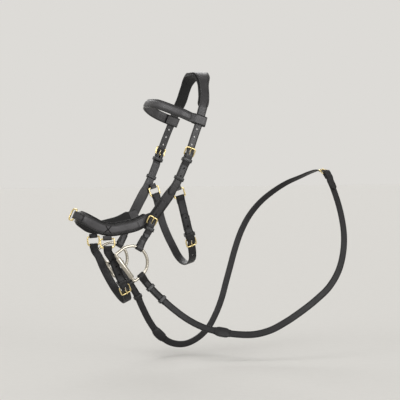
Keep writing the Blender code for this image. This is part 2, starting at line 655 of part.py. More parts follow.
class Fastening:
    """A buckle on a route: where its bars are and how the two straps pass it.

    The heel bar carries the buckle strap's turned end. The punched billet passes under the free
    bar and over the heel bar. u is the distance from the heel bar towards the free bar.
    """

    def __init__(self, route, heel, toward, width, base=0.0, billet_base=None):
        self.route, self.heel, self.toward, self.width = route, heel, toward, width
        self.base = base
        self.billet_base = base + STRAP_THICKNESS if billet_base is None else billet_base
        self.hug = BUCKLE_WIRE + LAYER_GAP
        self.lift = base + TURN_THICKNESS + 2 * self.hug + LAYER_GAP
        self.heel_n = self.lift - self.hug
        self.close = base + TURN_THICKNESS + 2 * LAYER_GAP
        self.over = self.lift + TURN_THICKNESS + LAYER_GAP
        self.stack = self.close + STRAP_THICKNESS + 2 * LAYER_GAP
        self.free_n = self.billet_base + STRAP_THICKNESS + BUCKLE_BITE + BUCKLE_WIRE

    def s(self, u):
        return self.heel + self.toward * u

    def front_rows(self):
        """The buckle strap's upper layer, from the keeper side to the heel bar."""
        settle = self.s(-TURN_LENGTH - TURN_FALL)
        return [(settle, self.base, STRAP_THICKNESS),
                (self.s(-TURN_LENGTH - LAYER_GAP), self.close, STRAP_THICKNESS),
                (self.s(-TURN_CLOSE), self.close, STRAP_THICKNESS),
                (self.s(-self.hug), self.lift, TURN_THICKNESS)]

    def turn_rows(self):
        """The turn round the heel bar and the short end stitched behind."""
        rows = [(s, n, TURN_THICKNESS) for s, n in around(self.heel, self.heel_n, self.hug, self.toward)]
        tail = self.base + TURN_THICKNESS
        rows.append((self.s(-TURN_CLOSE + LAYER_GAP), tail, TURN_THICKNESS))
        rows.append((self.s(-TURN_LENGTH), tail, TURN_THICKNESS))
        return rows

    def slot(self, line):
        """The slot for the tongue, from the upper layer through the turn to the stitched end."""
        passes = line.crossings(self.s(-self.hug - 2 * TONGUE_WIRE - SLOT_WIDTH / 2))
        return (passes[-2], passes[-1])

    def billet_rows(self):
        """The billet's inner line near the buckle, from the free side to the keeper side."""
        on_stack = self.stack + LAYER_GAP
        on_base = self.base + STRAP_THICKNESS + 2 * LAYER_GAP
        return [(self.s(BUCKLE_REACH + BUCKLE_CORNER), self.billet_base, STRAP_THICKNESS),
                (self.s(BUCKLE_REACH - BUCKLE_WIRE), self.billet_base, STRAP_THICKNESS),
                (self.s(self.hug), self.over, STRAP_THICKNESS),
                (self.s(-self.hug), self.over, STRAP_THICKNESS),
                (self.s(-TURN_CLOSE), on_stack, STRAP_THICKNESS),
                (self.s(-TURN_LENGTH - LAYER_GAP), on_stack, STRAP_THICKNESS),
                (self.s(-TURN_LENGTH - TURN_FALL), on_base, STRAP_THICKNESS)]

    def billet_slot(self, line):
        """The long hole that the tongue passes."""
        ends = [line.crossings(self.s(u))[0] for u in (SLOT_START, SLOT_END)]
        return (min(ends), max(ends))

    def hole_at(self, step):
        """The place of a hole, whole pitches from the one in use towards the billet's root."""
        return self.s((SLOT_START + SLOT_END) / 2 + step * HOLE_PITCH)

    def billet_end(self, point):
        """The place of the billet's end, a point's length beyond its last hole."""
        return self.hole_at(-HOLE_LAST_COUNT) - self.toward * point

    def frame(self, name):
        """The buckle's wire frame, tilted from the heel bar up to the free bar."""
        half = self.width / 2 + EDGE_PLAY + BUCKLE_WIRE
        corners = []
        for k in range(4):
            angle = math.pi / 2 * k / 3
            corners.append((BUCKLE_REACH - BUCKLE_CORNER * (1 - math.sin(angle)),
                            half - BUCKLE_CORNER * (1 - math.cos(angle))))
        heel_corner = BUCKLE_WIRE
        outline = [(0.0, half - heel_corner), (heel_corner, half)] + corners
        outline += [(u, -w) for u, w in reversed(outline)]
        points = []
        for u, w in outline:
            n = self.heel_n + (self.free_n - self.heel_n) * u / BUCKLE_REACH
            points.append(self.route.place(self.s(u), w, n))
        return add_piece(name, tube(points, BUCKLE_WIRE, closed=True), BRASS)

    def tongue(self, name):
        """The tongue: an open eye round the heel bar and a shank over the free bar."""
        eye = BUCKLE_WIRE + TONGUE_SEAT + TONGUE_WIRE
        rows = []
        for k in range(TONGUE_STEPS + 1):
            angle = math.pi / 2 + TONGUE_WRAP * (1 - k / TONGUE_STEPS)
            rows.append((eye * math.cos(angle), self.heel_n + eye * math.sin(angle)))
        rows.append((BUCKLE_REACH / 2, (self.heel_n + self.free_n) / 2 + eye))
        rows.append((BUCKLE_REACH, self.free_n + eye))
        rows.append((BUCKLE_REACH + TONGUE_TIP, self.free_n + eye))
        points = [self.route.place(self.s(u), 0.0, n) for u, n in rows]
        pivot = self.route.place(self.heel, 0.0, self.heel_n)
        axis = self.route.sideways(self.heel) * -self.toward
        return add_piece(name, tube(points, TONGUE_WIRE, fineness=1), BRASS, pivot, axis)

    def fixed_keeper(self, name):
        """The keeper sewn next to the buckle, round both straps and the turned end."""
        top = self.stack + LAYER_GAP + STRAP_THICKNESS
        return keeper(name, self.route, self.s(-KEEPER_SET), self.width, self.base, top)


class Ring:
    """A wire loop with a straight top bar, in the plane of two directions."""

    def __init__(self, bar, along, down, half_width, depth, corner):
        self.bar, self.along, self.down = Vector(bar), Vector(along).normalized(), Vector(down).normalized()
        self.half_width, self.depth, self.corner = half_width, depth, corner
        self.out = self.along.cross(self.down)

    def points(self):
        """The loop's centre line: small corners at the bar, large ones at the bottom."""
        line = []
        for sign in (1, -1):
            side = self.along * sign
            start = self.bar + side * (self.half_width - RING_TOP_CORNER) + self.down * RING_TOP_CORNER
            top = arc(start, -self.down, side, RING_TOP_CORNER, 0.0, math.pi / 2, 2)
            low = (self.bar + side * (self.half_width - self.corner)
                   + self.down * (self.depth - self.corner))
            bottom = arc(low, side, self.down, self.corner, 0.0, math.pi / 2, 4)
            part = top + bottom
            line += part if sign == 1 else list(reversed(part))
        return line

    def build(self, name, pivot=None, axis=None):
        """The ring as one closed wire."""
        return add_piece(name, tube(self.points(), RING_WIRE, closed=True), BRASS, pivot, axis)


def ring_hug():
    """The inner radius of leather round a ring's wire."""
    return RING_WIRE + RING_PLAY


def mirror_vector(vector):
    """The same vector on the other side of the bridle."""
    return Vector((-vector[0], vector[1], vector[2]))


def head_routes():
    """The routes of the headpiece with its cheekpieces, the browband and the noseband."""
    crown = Route(symmetric(sized(CROWN_SHARES)), centred=True)
    brow_half = sized(BROW_SHARES)
    under = -(TURN_THICKNESS + LOOP_ROOM)
    level = TURN_THICKNESS + LOOP_ROOM
    facing = crown.facing(BROWBAND_AT)
    for w in (-HEADPIECE_WIDTH, 0.0, HEADPIECE_WIDTH):
        brow_half.append(row_of(crown.place(BROWBAND_AT, w, under + level), facing))
    brow = Route(symmetric(brow_half), centred=True)
    nose_half = sized(NOSE_SHARES)
    sunk = -(NOSE_PAD_THICKNESS + STRAP_THICKNESS + 3 * LAYER_GAP)
    corner = crown.place(JUNCTION_AT, 0.0, sunk)
    forward = (crown.heading(JUNCTION_AT) * math.cos(NOSEBAND_TURN)
               - crown.sideways(JUNCTION_AT) * math.sin(NOSEBAND_TURN))
    facing = crown.facing(JUNCTION_AT)
    for back in (-NOSEBAND_WIDTH / 2, 0.0, NOSEBAND_WIDTH / 2):
        nose_half.append(row_of(corner - forward * back, facing))
    nose = Route(symmetric(nose_half), centred=True)
    return crown, brow, nose


def bit_frame(sign):
    """The bit's places on one side: the ring's middle, its radius directions and the bar's middle."""
    bar_way = Vector((0.0, math.sin(BIT_TILT), -math.cos(BIT_TILT)))
    back_way = Vector((0.0, math.cos(BIT_TILT), math.sin(BIT_TILT)))
    middle = Vector((sign * BIT_HALF_SPREAD, BIT_CENTRE_BACK, BIT_CENTRE_UP))
    bar = middle - back_way * BIT_RING_STRAIGHT
    return middle, bar, bar_way, back_way


def make_headpiece(crown):
    """The headpiece strap and the lining under it."""
    fall_start = POLL_PAD_REACH + 2 * LAYER_GAP
    high = PAD_THICKNESS + 2 * LAYER_GAP
    low = TURN_THICKNESS + LOOP_ROOM
    fastenings = {}
    for side, sign in SIDES:
        fastenings[side] = Fastening(crown, sign * CHEEK_HEEL_AT, -sign, BILLET_WIDTH, billet_base=low)
    half = [(fall_start, high, STRAP_THICKNESS), (fall_start + HEADPIECE_FALL, low, STRAP_THICKNESS)]
    half += fastenings["near"].billet_rows()
    half.append((fastenings["near"].billet_end(CHEEK_BILLET_POINT), half[-1][1], STRAP_THICKNESS))
    rows = [(-s, n, t) for s, n, t in reversed(half)] + half
    line = Line(crown, rows)
    widths = [(0.0, POLL_WIDTH), (POLL_WIDTH / 2, POLL_WIDTH), (POLL_PAD_REACH / 2, HEADPIECE_WIDTH),
              (BROWBAND_AT, HEADPIECE_WIDTH), (BROWBAND_AT + HEADPIECE_FALL, BILLET_WIDTH)]
    holes = []
    slots = []
    for side, sign in SIDES:
        fastening = fastenings[side]
        slots.append(fastening.billet_slot(line))
        for step in (2, 1, -HOLE_FIRST_COUNT, -HOLE_LAST_COUNT):
            holes.append(line.crossings(fastening.hole_at(step))[0])
    strap("headpiece", line, widths, tips=(0.9, 0.9), holes=holes, slots=slots)
    pad_line = Line(crown, [(-POLL_PAD_REACH, 0.0, PAD_THICKNESS), (POLL_PAD_REACH, 0.0, PAD_THICKNESS)])
    pad_widths = [(0.0, POLL_WIDTH + 2 * PAD_BORDER), (POLL_WIDTH / 2, POLL_WIDTH + 2 * PAD_BORDER),
                  (POLL_PAD_REACH / 2, HEADPIECE_WIDTH + 2 * PAD_BORDER),
                  (POLL_PAD_REACH, HEADPIECE_WIDTH + 2 * PAD_BORDER)]
    strap("poll_pad", pad_line, pad_widths, finish=LINING, tips=(0.5, 0.5))
    return fastenings


def make_cheekpieces(crown, fastenings):
    """Each cheekpiece with its buckle, tongue and keepers."""
    for side, sign in SIDES:
        fastening = fastenings[side]
        end = sign * (JUNCTION_AT + CHEEKPIECE_TAIL)
        rows = [(end, 0.0, STRAP_THICKNESS)] + fastening.front_rows() + fastening.turn_rows()
        line = Line(crown, rows, side=-sign)
        widths = [(0.0, BILLET_WIDTH), (WIDENING_START, BILLET_WIDTH), (WIDENING_END, CHEEKPIECE_WIDTH)]
        strap("cheekpiece_" + side, line, widths, tips=(0.6, 0.0), slots=[fastening.slot(line)])
        fastening.frame("cheek_buckle_" + side)
        fastening.tongue("cheek_tongue_" + side)
        fastening.fixed_keeper("cheek_keeper_" + side)
        top = 2 * STRAP_THICKNESS + 2 * LAYER_GAP
        keeper("cheek_runner_" + side, crown, fastening.s(-RUNNER_SET), BILLET_WIDTH, 0.0, top, slides=True)


def make_browband(brow):
    """The browband: a raised band whose ends loop round the headpiece."""
    cross = brow.length / 2 - HEADPIECE_WIDTH
    inner_n = TURN_THICKNESS
    outer_n = TURN_THICKNESS + 2 * LOOP_ROOM + STRAP_THICKNESS
    middle_n = (inner_n + outer_n) / 2
    edge = cross + HEADPIECE_WIDTH / 2 + LOOP_ROOM
    hug = (outer_n - inner_n) / 2
    rise = cross - HEADPIECE_WIDTH / 2 - LOOP_ROOM
    half = [(0.0, inner_n + LAYER_GAP, STRAP_THICKNESS),
            (rise - LOOP_TURN / 2, inner_n + LAYER_GAP, STRAP_THICKNESS),
            (rise, outer_n, TURN_THICKNESS)]
    half += [(s, n, TURN_THICKNESS) for s, n in around(edge, middle_n, hug, 1)]
    half.append((edge - LOOP_TURN - HEADPIECE_WIDTH / 2, inner_n, TURN_THICKNESS))
    rows = [(-s, n, t) for s, n, t in reversed(half[1:])] + half
    raise_to = rise - LOOP_TURN / 2
    strap("browband", Line(brow, rows), BROWBAND_WIDTH, raised=(-raise_to, raise_to))


def make_noseband(nose):
    """The noseband, its lining, and the rings that hang on it."""
    under = NOSE_PAD_THICKNESS + LAYER_GAP
    end = nose.length / 2
    line = Line(nose, [(-end, under, STRAP_THICKNESS), (end, under, STRAP_THICKNESS)])
    raise_to = end - 2 * NOSEBAND_WIDTH
    strap("noseband", line, NOSEBAND_WIDTH, tips=(0.6, 0.6), raised=(-raise_to, raise_to))
    pad_to = end - NOSEBAND_WIDTH
    pad = Line(nose, [(-pad_to, 0.0, NOSE_PAD_THICKNESS), (pad_to, 0.0, NOSE_PAD_THICKNESS)])
    strap("noseband_pad", pad, NOSEBAND_WIDTH + 2 * PAD_BORDER, finish=LINING, tips=(0.5, 0.5))


def hanging_route(start, down, facing, length):
    """A short straight route."""
    rows = [row_of(start + down * (length * k / 2), facing) for k in range(3)]
    return Route(rows, station=length)


def make_side_rings(nose):
    """The rings under the noseband, each with its tab; gives the rings back."""
    rings = {}
    hug = ring_hug()
    for side, sign in SIDES:
        at = sign * SIDE_RING_AT
        under = NOSE_PAD_THICKNESS + LAYER_GAP
        edge = -(NOSEBAND_WIDTH / 2 + LAYER_GAP + SIDE_RING_LEAN_SHARE * SIDE_TAB_WIDTH / 2)
        down = (nose.heading(at) * (sign * SIDE_RING_LEAN_SHARE) - nose.sideways(at)).normalized()
        facing = nose.facing(at)
        start = nose.place(at, edge, under)
        route = hanging_route(start, down, facing, 2 * SIDE_TAB_DROP)
        bar_n = TAB_THICKNESS + LAYER_GAP / 2
        front = TAB_THICKNESS + LAYER_GAP
        rows = [(0.0, front, TAB_THICKNESS), (SIDE_TAB_DROP - 2 * hug, front, TAB_THICKNESS)]
        rows += [(s, n, TAB_THICKNESS) for s, n in around(SIDE_TAB_DROP, bar_n, hug, 1)]
        rows += [(SIDE_TAB_DROP - 2 * hug, TAB_THICKNESS, TAB_THICKNESS), (0.0, TAB_THICKNESS, TAB_THICKNESS)]
        strap("side_ring_tab_" + side, Line(route, rows), SIDE_TAB_WIDTH)
        bar = route.place(SIDE_TAB_DROP, 0.0, bar_n)
        ring = Ring(bar, route.sideways(0.0), down, SIDE_RING_HALF_WIDTH, SIDE_RING_DEPTH, SIDE_RING_CORNER)
        ring.build("side_ring_" + side)
        rings[side] = ring
    return rings


def make_nose_ring(nose):
    """The ring on the front of the noseband, lying over to the off side."""
    hug = ring_hug()
    face = NOSE_PAD_THICKNESS + 2 * LAYER_GAP + STRAP_THICKNESS + RAISED_HEIGHT
    low = face + TAB_THICKNESS
    bar_n = low + hug
    front = low + LAYER_GAP
    rows = [(NOSE_TAB_LENGTH, front, TAB_THICKNESS), (3 * hug, front, TAB_THICKNESS)]
    rows += [(s, n, TAB_THICKNESS) for s, n in around(0.0, bar_n, hug, -1)]
    rows += [(NOSE_TAB_LENGTH, low, TAB_THICKNESS)]
    strap("nose_ring_tab", Line(nose, rows, side=-1), NOSE_TAB_WIDTH)
    bar = nose.place(0.0, 0.0, bar_n)
    lean = (nose.facing(0.0) * math.cos(NOSE_RING_LEAN) - nose.heading(0.0) * math.sin(NOSE_RING_LEAN))
    ring = Ring(bar, nose.sideways(0.0), lean, NOSE_RING_HALF_WIDTH, NOSE_RING_DEPTH, SIDE_RING_CORNER)
    ring.build("nose_ring", pivot=bar, axis=nose.sideways(0.0))


def make_jaw_rings(crown):
    """The rings behind the cheekpieces, each with its tab; gives the rings back."""
    rings = {}
    hug = ring_hug()
    jaw_top = Vector(sized(JAW_SHARES)[0][:3])
    jaw_next = Vector(sized(JAW_SHARES)[1][:3])
    bar_n = -(hug + TAB_THICKNESS + LAYER_GAP)
    for side, sign in SIDES:
        near_bar = crown.place(JAW_RING_AT, JAW_RING_SET, bar_n)
        down = (jaw_next - jaw_top).normalized()
        facing = crown.facing(JAW_RING_AT)
        down = (down - facing * down.dot(facing)).normalized()
        if sign < 0:
            near_bar, down, facing = mirror_vector(near_bar), mirror_vector(down), mirror_vector(facing)
        start = near_bar - down * JAW_TAB_LENGTH
        route = hanging_route(start, down, facing, 2 * JAW_TAB_LENGTH)
        front = LAYER_GAP / 2
        rows = [(0.0, front, TAB_THICKNESS), (JAW_TAB_LENGTH - 2 * hug, front, TAB_THICKNESS)]
        rows += [(s, n, TAB_THICKNESS) for s, n in around(JAW_TAB_LENGTH, 0.0, hug, 1)]
        rows += [(JAW_TAB_LENGTH - 2 * hug, -front, TAB_THICKNESS), (0.0, -front, TAB_THICKNESS)]
        strap("jaw_ring_tab_" + side, Line(route, rows), JAW_TAB_WIDTH)
        ring = Ring(near_bar, route.sideways(0.0), down, JAW_RING_HALF_WIDTH, JAW_RING_DEPTH, RING_TOP_CORNER)
        ring.build("jaw_ring_" + side)
        rings[side] = ring
    return rings


def two_strap_route(ring, shares):
    """A route from the near ring's bottom wire down and across to the off ring's."""
    depth = ring_hug() + RING_PLAY + TURN_THICKNESS
    facing = -ring.out if ring.out.x < 0 else ring.out
    hang = ring.bar + ring.down * ring.depth
    start = hang - facing * depth
    half = [row_of(start, facing), row_of(start + ring.down * TURN_CLOSE, facing)]
    half += [row for row in sized(shares)[1:]]
    rows = half + [flip(row) for row in reversed(half[:-1])]
    return Route(rows)


def make_two_straps(name, route, width, heel, point):
    """A strap that buckles on the near side: the buckle half and the punched half."""
    base = TURN_THICKNESS + 2 * LAYER_GAP
    fastening = Fastening(route, heel, 1, width, base=base, billet_base=base)
    hug = ring_hug() + RING_PLAY
    bar_n = hug + TURN_THICKNESS

    def ring_turn(bar_s, way):
        """The end turned round the ring, from the stitched end to the upper layer."""
        tail = [(bar_s - way * TURN_LENGTH, TURN_THICKNESS, TURN_THICKNESS)]
        loop = [(s, n, TURN_THICKNESS) for s, n in reversed(around(bar_s, bar_n, hug, way))]
        settle = [(bar_s - way * TURN_CLOSE, base, STRAP_THICKNESS)]
        return tail + loop + settle

    near_rows = ring_turn(0.0, -1) + fastening.front_rows() + fastening.turn_rows()
    near = Line(route, near_rows)
    strap(name + "_strap", near, width, slots=[fastening.slot(near)])
    billet_rows = list(fastening.billet_rows())
    billet_rows.append((fastening.billet_end(point), billet_rows[-1][1], STRAP_THICKNESS))
    off_rows = ring_turn(route.length, 1) + billet_rows
    off = Line(route, off_rows, side=-1)
    room = route.length - TURN_LENGTH - fastening.hole_at(0)
    steps = [-HOLE_LAST_COUNT, -HOLE_FIRST_COUNT]
    steps += range(HOLE_FIRST_COUNT, min(HOLE_LAST_COUNT, math.floor(room / HOLE_PITCH)) + 1)
    holes = [off.crossings(fastening.hole_at(step))[0] for step in steps]
    strap(name + "_billet", off, width, tips=(0.0, 0.9), holes=holes, slots=[fastening.billet_slot(off)])
    fastening.frame(name + "_buckle")
    fastening.tongue(name + "_tongue")
    fastening.fixed_keeper(name + "_keeper")


def make_bit_straps(crown):
    """The short straps that hang the bit from the cheekpieces."""
    level = STRAP_THICKNESS + LAYER_GAP / 2
    wire_hug = BIT_WIRE + BIT_LOOP_ROOM
    for side, sign in SIDES:
        middle, bar, bar_way, back_way = bit_frame(1)
        radial = back_way * math.cos(BIT_STRAP_ANGLE) + bar_way * math.sin(BIT_STRAP_ANGLE)
        lead = Vector((0.0, math.sin(BIT_STRAP_LEAN), math.cos(BIT_STRAP_LEAN)))
        inside = middle + radial * BIT_RING_RADIUS - X_AXIS * (wire_hug + TURN_THICKNESS)
        rows = []
        for back in (BIT_BILLET_START, BIT_BILLET_START * 2 / 3, BIT_BILLET_START / 3, 0.0):
            rows.append(row_of(crown.place(JUNCTION_AT - back, 0.0, level), crown.facing(JUNCTION_AT - back)))
        for up in (BIT_STRAP_LEAD, BIT_STRAP_LEAD / 2, 0.0, -2 * wire_hug):
            bulge = BIT_STRAP_BULGE * (up / BIT_STRAP_LEAD) ** 2 if up > 0 else 0.0
            rows.append(row_of(inside + lead * up + X_AXIS * bulge, X_AXIS))
        if sign < 0:
            rows = [flip(row) for row in rows]
        route = Route(rows)
        bar_s = route.length - 2 * wire_hug
        heel = BIT_BILLET_START + BUCKLE_REACH - BIT_BUCKLE_BACK
        base = STRAP_THICKNESS + LAYER_GAP
        fastening = Fastening(route, heel, -1, BIT_STRAP_WIDTH, base=LAYER_GAP, billet_base=LAYER_GAP)
        bar_n = wire_hug + TURN_THICKNESS
        back_end = heel + TURN_LENGTH + 2 * TURN_FALL
        thin = STRAP_THICKNESS
        strap_rows = [(back_end, thin, thin), (bar_s - 4 * wire_hug, thin, thin)]
        strap_rows += [(s, n, TURN_THICKNESS) for s, n in reversed(around(bar_s, bar_n, wire_hug, 1))]
        strap_rows += [(bar_s - 4 * wire_hug, base, STRAP_THICKNESS), (back_end, base, STRAP_THICKNESS)]
        strap_rows += fastening.front_rows() + fastening.turn_rows()
        line = Line(route, strap_rows, side=-1)
        strap("bit_strap_" + side, line, BIT_STRAP_WIDTH, slots=[fastening.slot(line)])
        rows = [(0.0, LAYER_GAP, STRAP_THICKNESS)] + fastening.billet_rows()
        rows.append((back_end, base + STRAP_THICKNESS + 2 * LAYER_GAP, STRAP_THICKNESS))
        billet = Line(route, rows)
        holes = [billet.crossings(fastening.hole_at(1))[0]]
        strap("bit_billet_" + side, billet, BIT_STRAP_WIDTH, tips=(0.3, 0.9), holes=holes,
              slots=[fastening.billet_slot(billet)])
        fastening.frame("bit_buckle_" + side)
        fastening.tongue("bit_tongue_" + side)
        fastening.fixed_keeper("bit_keeper_" + side)


def make_cheeks():
    """The two D-shaped cheeks of the bit, turning about the middle of their arcs."""
    for side, sign in SIDES:
        middle, bar, bar_way, back_way = bit_frame(sign)
        corner = BIT_CORNER
        line = []
        for way in (-1, 1):
            run = bar_way * way
            start = bar + run * (BIT_RING_RADIUS - corner) + back_way * corner
            part = arc(start, -back_way, run, corner, 0.0, math.pi / 2, 2)
            line += part if way == 1 else list(reversed(part))
            if way == -1:
                kept = line
                line = []
        round_part = arc(middle, bar_way, back_way, BIT_RING_RADIUS, 0.0, math.pi, 16)
        points = line + round_part + kept
        add_piece("bit_cheek_" + side, tube(points, BIT_WIRE, closed=True), STEEL,
                  pivot=(0.0, middle.y, middle.z) if side == "near" else None,
                  axis=X_AXIS if side == "near" else None)


def placed_cylinder(start, end, radius, end_radius=None, segments=16):
    """A capped cylinder or cone between two places."""
    start, end = Vector(start), Vector(end)
    shape = bmesh.new()
    bmesh.ops.create_cone(shape, cap_ends=True, segments=segments, radius1=radius,
                          radius2=radius if end_radius is None else end_radius, depth=(end - start).length)
    turn = (end - start).to_track_quat("Z", "Y").to_matrix().to_4x4()
    bmesh.ops.transform(shape, matrix=Matrix.Translation((start + end) / 2) @ turn, verts=shape.verts)
    return shape


def make_mouthpiece():
    """Two arms that turn on the cheeks' bars, and the link between their eyes."""
    sleeve_radius = BIT_WIRE + SLEEVE_PLAY + SLEEVE_WALL
    reach = BIT_HALF_SPREAD - LINK_HALF_SPREAD
    drop = reach * math.tan(ARM_ANGLE)
    joints = {}
    for side, sign in SIDES:
        middle, bar, bar_way, back_way = bit_frame(sign)
        joint = bar - X_AXIS * (sign * reach) + back_way * drop
        joints[side] = joint
        way = (joint - bar).normalized()
        half = SLEEVE_LENGTH / 2
        shape = placed_cylinder(bar - bar_way * half, bar + bar_way * half, sleeve_radius)
        neck = joint - way * (EYE_RADIUS + EYE_WIRE / 2)
        body = placed_cylinder(bar + way * (BIT_WIRE + SLEEVE_PLAY), neck, ARM_RADIUS, ARM_NECK_RADIUS)
        shape = combine(shape, body, "UNION")
        eye = arc(joint, way, way.cross(bar_way), EYE_RADIUS, 0.0, 2 * math.pi, 12)[:-1]
        shape = combine(shape, tube(eye, EYE_WIRE, closed=True), "UNION")
        bore = placed_cylinder(bar - bar_way * SLEEVE_LENGTH, bar + bar_way * SLEEVE_LENGTH,
                               BIT_WIRE + SLEEVE_PLAY)
        shape = combine(shape, bore, "DIFFERENCE")
        add_piece("mouthpiece_arm_" + side, shape, STEEL, pivot=bar, axis=bar_way)
    middle, bar, bar_way, back_way = bit_frame(1)
    centre = (joints["near"] + joints["off"]) / 2
    shape = None
    half_run = LINK_HALF_SPREAD - LINK_HALF_HEIGHT
    points = []
    for way in (1, -1):
        end = centre + X_AXIS * (way * half_run)
        points += arc(end, bar_way * way, X_AXIS * way, LINK_HALF_HEIGHT, 0.0, math.pi, 8)
    shape = tube(points, LINK_WIRE, closed=True)
    bean = placed_cylinder(centre - bar_way * LINK_HALF_HEIGHT, centre + bar_way * LINK_HALF_HEIGHT,
                           LINK_BEAN_RADIUS / 2)
    shape = combine(shape, bean, "UNION")
    add_piece("mouthpiece_link", shape, STEEL, pivot=joints["near"], axis=bar_way)


def bit_lead(side, sign):
    """The first rows of a rein's route, from inside the bit's ring out past its wire."""
    middle, bar, bar_way, back_way = bit_frame(sign)
    radial = back_way * math.cos(REIN_ANGLE) + bar_way * math.sin(REIN_ANGLE)
    hug = BIT_WIRE + BIT_LOOP_ROOM
    out = X_AXIS * sign
    inside = middle + radial * BIT_RING_RADIUS - out * (hug + TURN_THICKNESS)
    return [row_of(inside + radial * (step * hug), out) for step in (-2, 0, 2.6)]


def make_reins():
    """The reins, with their turned ends at the bit, keepers, stops and the buckle that joins them."""
    hug = BIT_WIRE + BIT_LOOP_ROOM
    near_rows = bit_lead("near", 1) + list(NEAR_REIN)
    off_rows = bit_lead("off", -1) + list(OFF_REIN)
    route = Route(near_rows + list(reversed(off_rows)), station=2 * STATION)
    bar_n = hug + TURN_THICKNESS
    lower = TURN_THICKNESS
    upper = lower + LAYER_GAP
    starts = {}
    for side, bar_s, way in (("near", 2 * hug, 1), ("off", route.length - 2 * hug, -1)):
        rows = [(bar_s + way * REIN_TAIL, lower, TURN_THICKNESS), (bar_s + way * 4 * hug, lower, TURN_THICKNESS)]
        rows += [(s, n, TURN_THICKNESS) for s, n in reversed(around(bar_s, bar_n, hug, -way))]
        rows += [(bar_s + way * 4 * hug, upper, REIN_THICKNESS)]
        starts[side] = rows
        for number, share in enumerate(REIN_KEEPER_SHARES, start=1):
            at = bar_s + way * (share * REIN_TAIL + KEEPER_LENGTH)
            keeper("rein_keeper_%s_%d" % (side, number), route, at, REIN_WIDTH, 0.0, upper + REIN_THICKNESS)
    fastening = Fastening(route, REIN_HEEL_AT, 1, REIN_WIDTH, base=upper, billet_base=upper)
    line = Line(route, starts["near"] + fastening.front_rows() + fastening.turn_rows())
    strap("rein_near", line, REIN_WIDTH, slots=[fastening.slot(line)])
    rows = starts["off"] + fastening.billet_rows()
    rows.append((REIN_HEEL_AT - REIN_BILLET_TAIL, rows[-1][1], STRAP_THICKNESS))
    line = Line(route, rows, side=-1)
    strap("rein_off", line, REIN_WIDTH, tips=(0.0, 0.9), slots=[fastening.billet_slot(line)])
    fastening.frame("rein_buckle")
    fastening.tongue("rein_tongue")
    near_share, off_share = REIN_STOP_AT_SHARES
    rein_stop("rein_stop_near", route, near_share * REIN_HEEL_AT, upper)
    rein_stop("rein_stop_off", route, route.length - off_share * REIN_HEEL_AT, upper)


def rein_stop(name, route, at, upper):
    """A leather stop: a flat lens with a slot for the rein."""
    half = REIN_STOP_LENGTH / 2
    middle = upper + REIN_THICKNESS / 2
    shape = bmesh.new()
    bmesh.ops.create_uvsphere(shape, u_segments=16, v_segments=8, radius=1.0)
    bmesh.ops.rotate(shape, verts=shape.verts, matrix=Matrix.Rotation(math.pi / 2, 3, "Y"))
    bmesh.ops.scale(shape, vec=(half, REIN_STOP_WIDTH / 2, REIN_STOP_THICKNESS / 2), verts=shape.verts)
    bmesh.ops.translate(shape, vec=(at, 0.0, middle), verts=shape.verts)
    slot = flat_box((at - half - CUT_OVERRUN, -REIN_WIDTH / 2 - KEEPER_PLAY, upper - KEEPER_PLAY),
                    (at + half + CUT_OVERRUN, REIN_WIDTH / 2 + KEEPER_PLAY,
                     upper + REIN_THICKNESS + KEEPER_PLAY))
    shape = bend(combine(shape, slot, "DIFFERENCE"), route)
    add_piece(name, shape, LEATHER, route.place(at, 0.0, middle), route.heading(at))


def main():
    """Build every piece."""
    crown, brow, nose = head_routes()
    fastenings = make_headpiece(crown)
    make_cheekpieces(crown, fastenings)
    make_browband(brow)
    make_noseband(nose)
    side_rings = make_side_rings(nose)
    make_nose_ring(nose)
    jaw_rings = make_jaw_rings(crown)
    chin = two_strap_route(side_rings["near"], CHIN_SHARES)
    jaw = two_strap_route(jaw_rings["near"], JAW_SHARES)
    make_two_straps("chin", chin, CHIN_STRAP_WIDTH, CHIN_HEEL_AT, CHIN_POINT)
    make_two_straps("jaw", jaw, JAW_STRAP_WIDTH, JAW_HEEL_AT, JAW_POINT)
    make_bit_straps(crown)
    make_cheeks()
    make_mouthpiece()
    make_reins()


PARTS, CUTTERS = start_empty()
main()
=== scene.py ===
"""The looks of a bridle with its bit and reins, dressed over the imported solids.

The noseband is towards -Y, the near (left) side is +X and +Z is up. The origin is under the middle
of the headpiece's lining. All sizes are in metres. A place on a strap's route has three numbers:
s along it, w across it and n outwards from its inner face. Straps are a cut profile carried along
a line in s and n, wires are a circle carried round a loop, and every surface is worked out as
whole arrays.
"""

import json
import math

import bpy
import numpy as np
from mathutils import Matrix, Vector


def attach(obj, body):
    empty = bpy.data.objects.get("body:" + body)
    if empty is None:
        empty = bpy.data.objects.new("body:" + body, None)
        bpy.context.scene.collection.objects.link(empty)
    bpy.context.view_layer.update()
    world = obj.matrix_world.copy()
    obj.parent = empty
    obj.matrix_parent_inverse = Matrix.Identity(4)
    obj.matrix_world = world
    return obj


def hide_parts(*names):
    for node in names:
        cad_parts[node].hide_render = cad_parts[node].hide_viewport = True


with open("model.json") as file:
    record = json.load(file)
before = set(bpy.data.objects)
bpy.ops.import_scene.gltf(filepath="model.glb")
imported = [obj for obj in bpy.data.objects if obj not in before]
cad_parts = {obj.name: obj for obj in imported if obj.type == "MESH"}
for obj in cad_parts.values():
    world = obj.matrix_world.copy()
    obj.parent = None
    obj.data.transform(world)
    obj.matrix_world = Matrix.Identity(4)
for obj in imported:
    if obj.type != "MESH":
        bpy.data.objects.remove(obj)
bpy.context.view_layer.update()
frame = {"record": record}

# The sizes that the straps are cut to: the length from headpiece to noseband, and half the width
HEAD_LENGTH = 0.600
CHEEK_HALF_WIDTH = 0.090

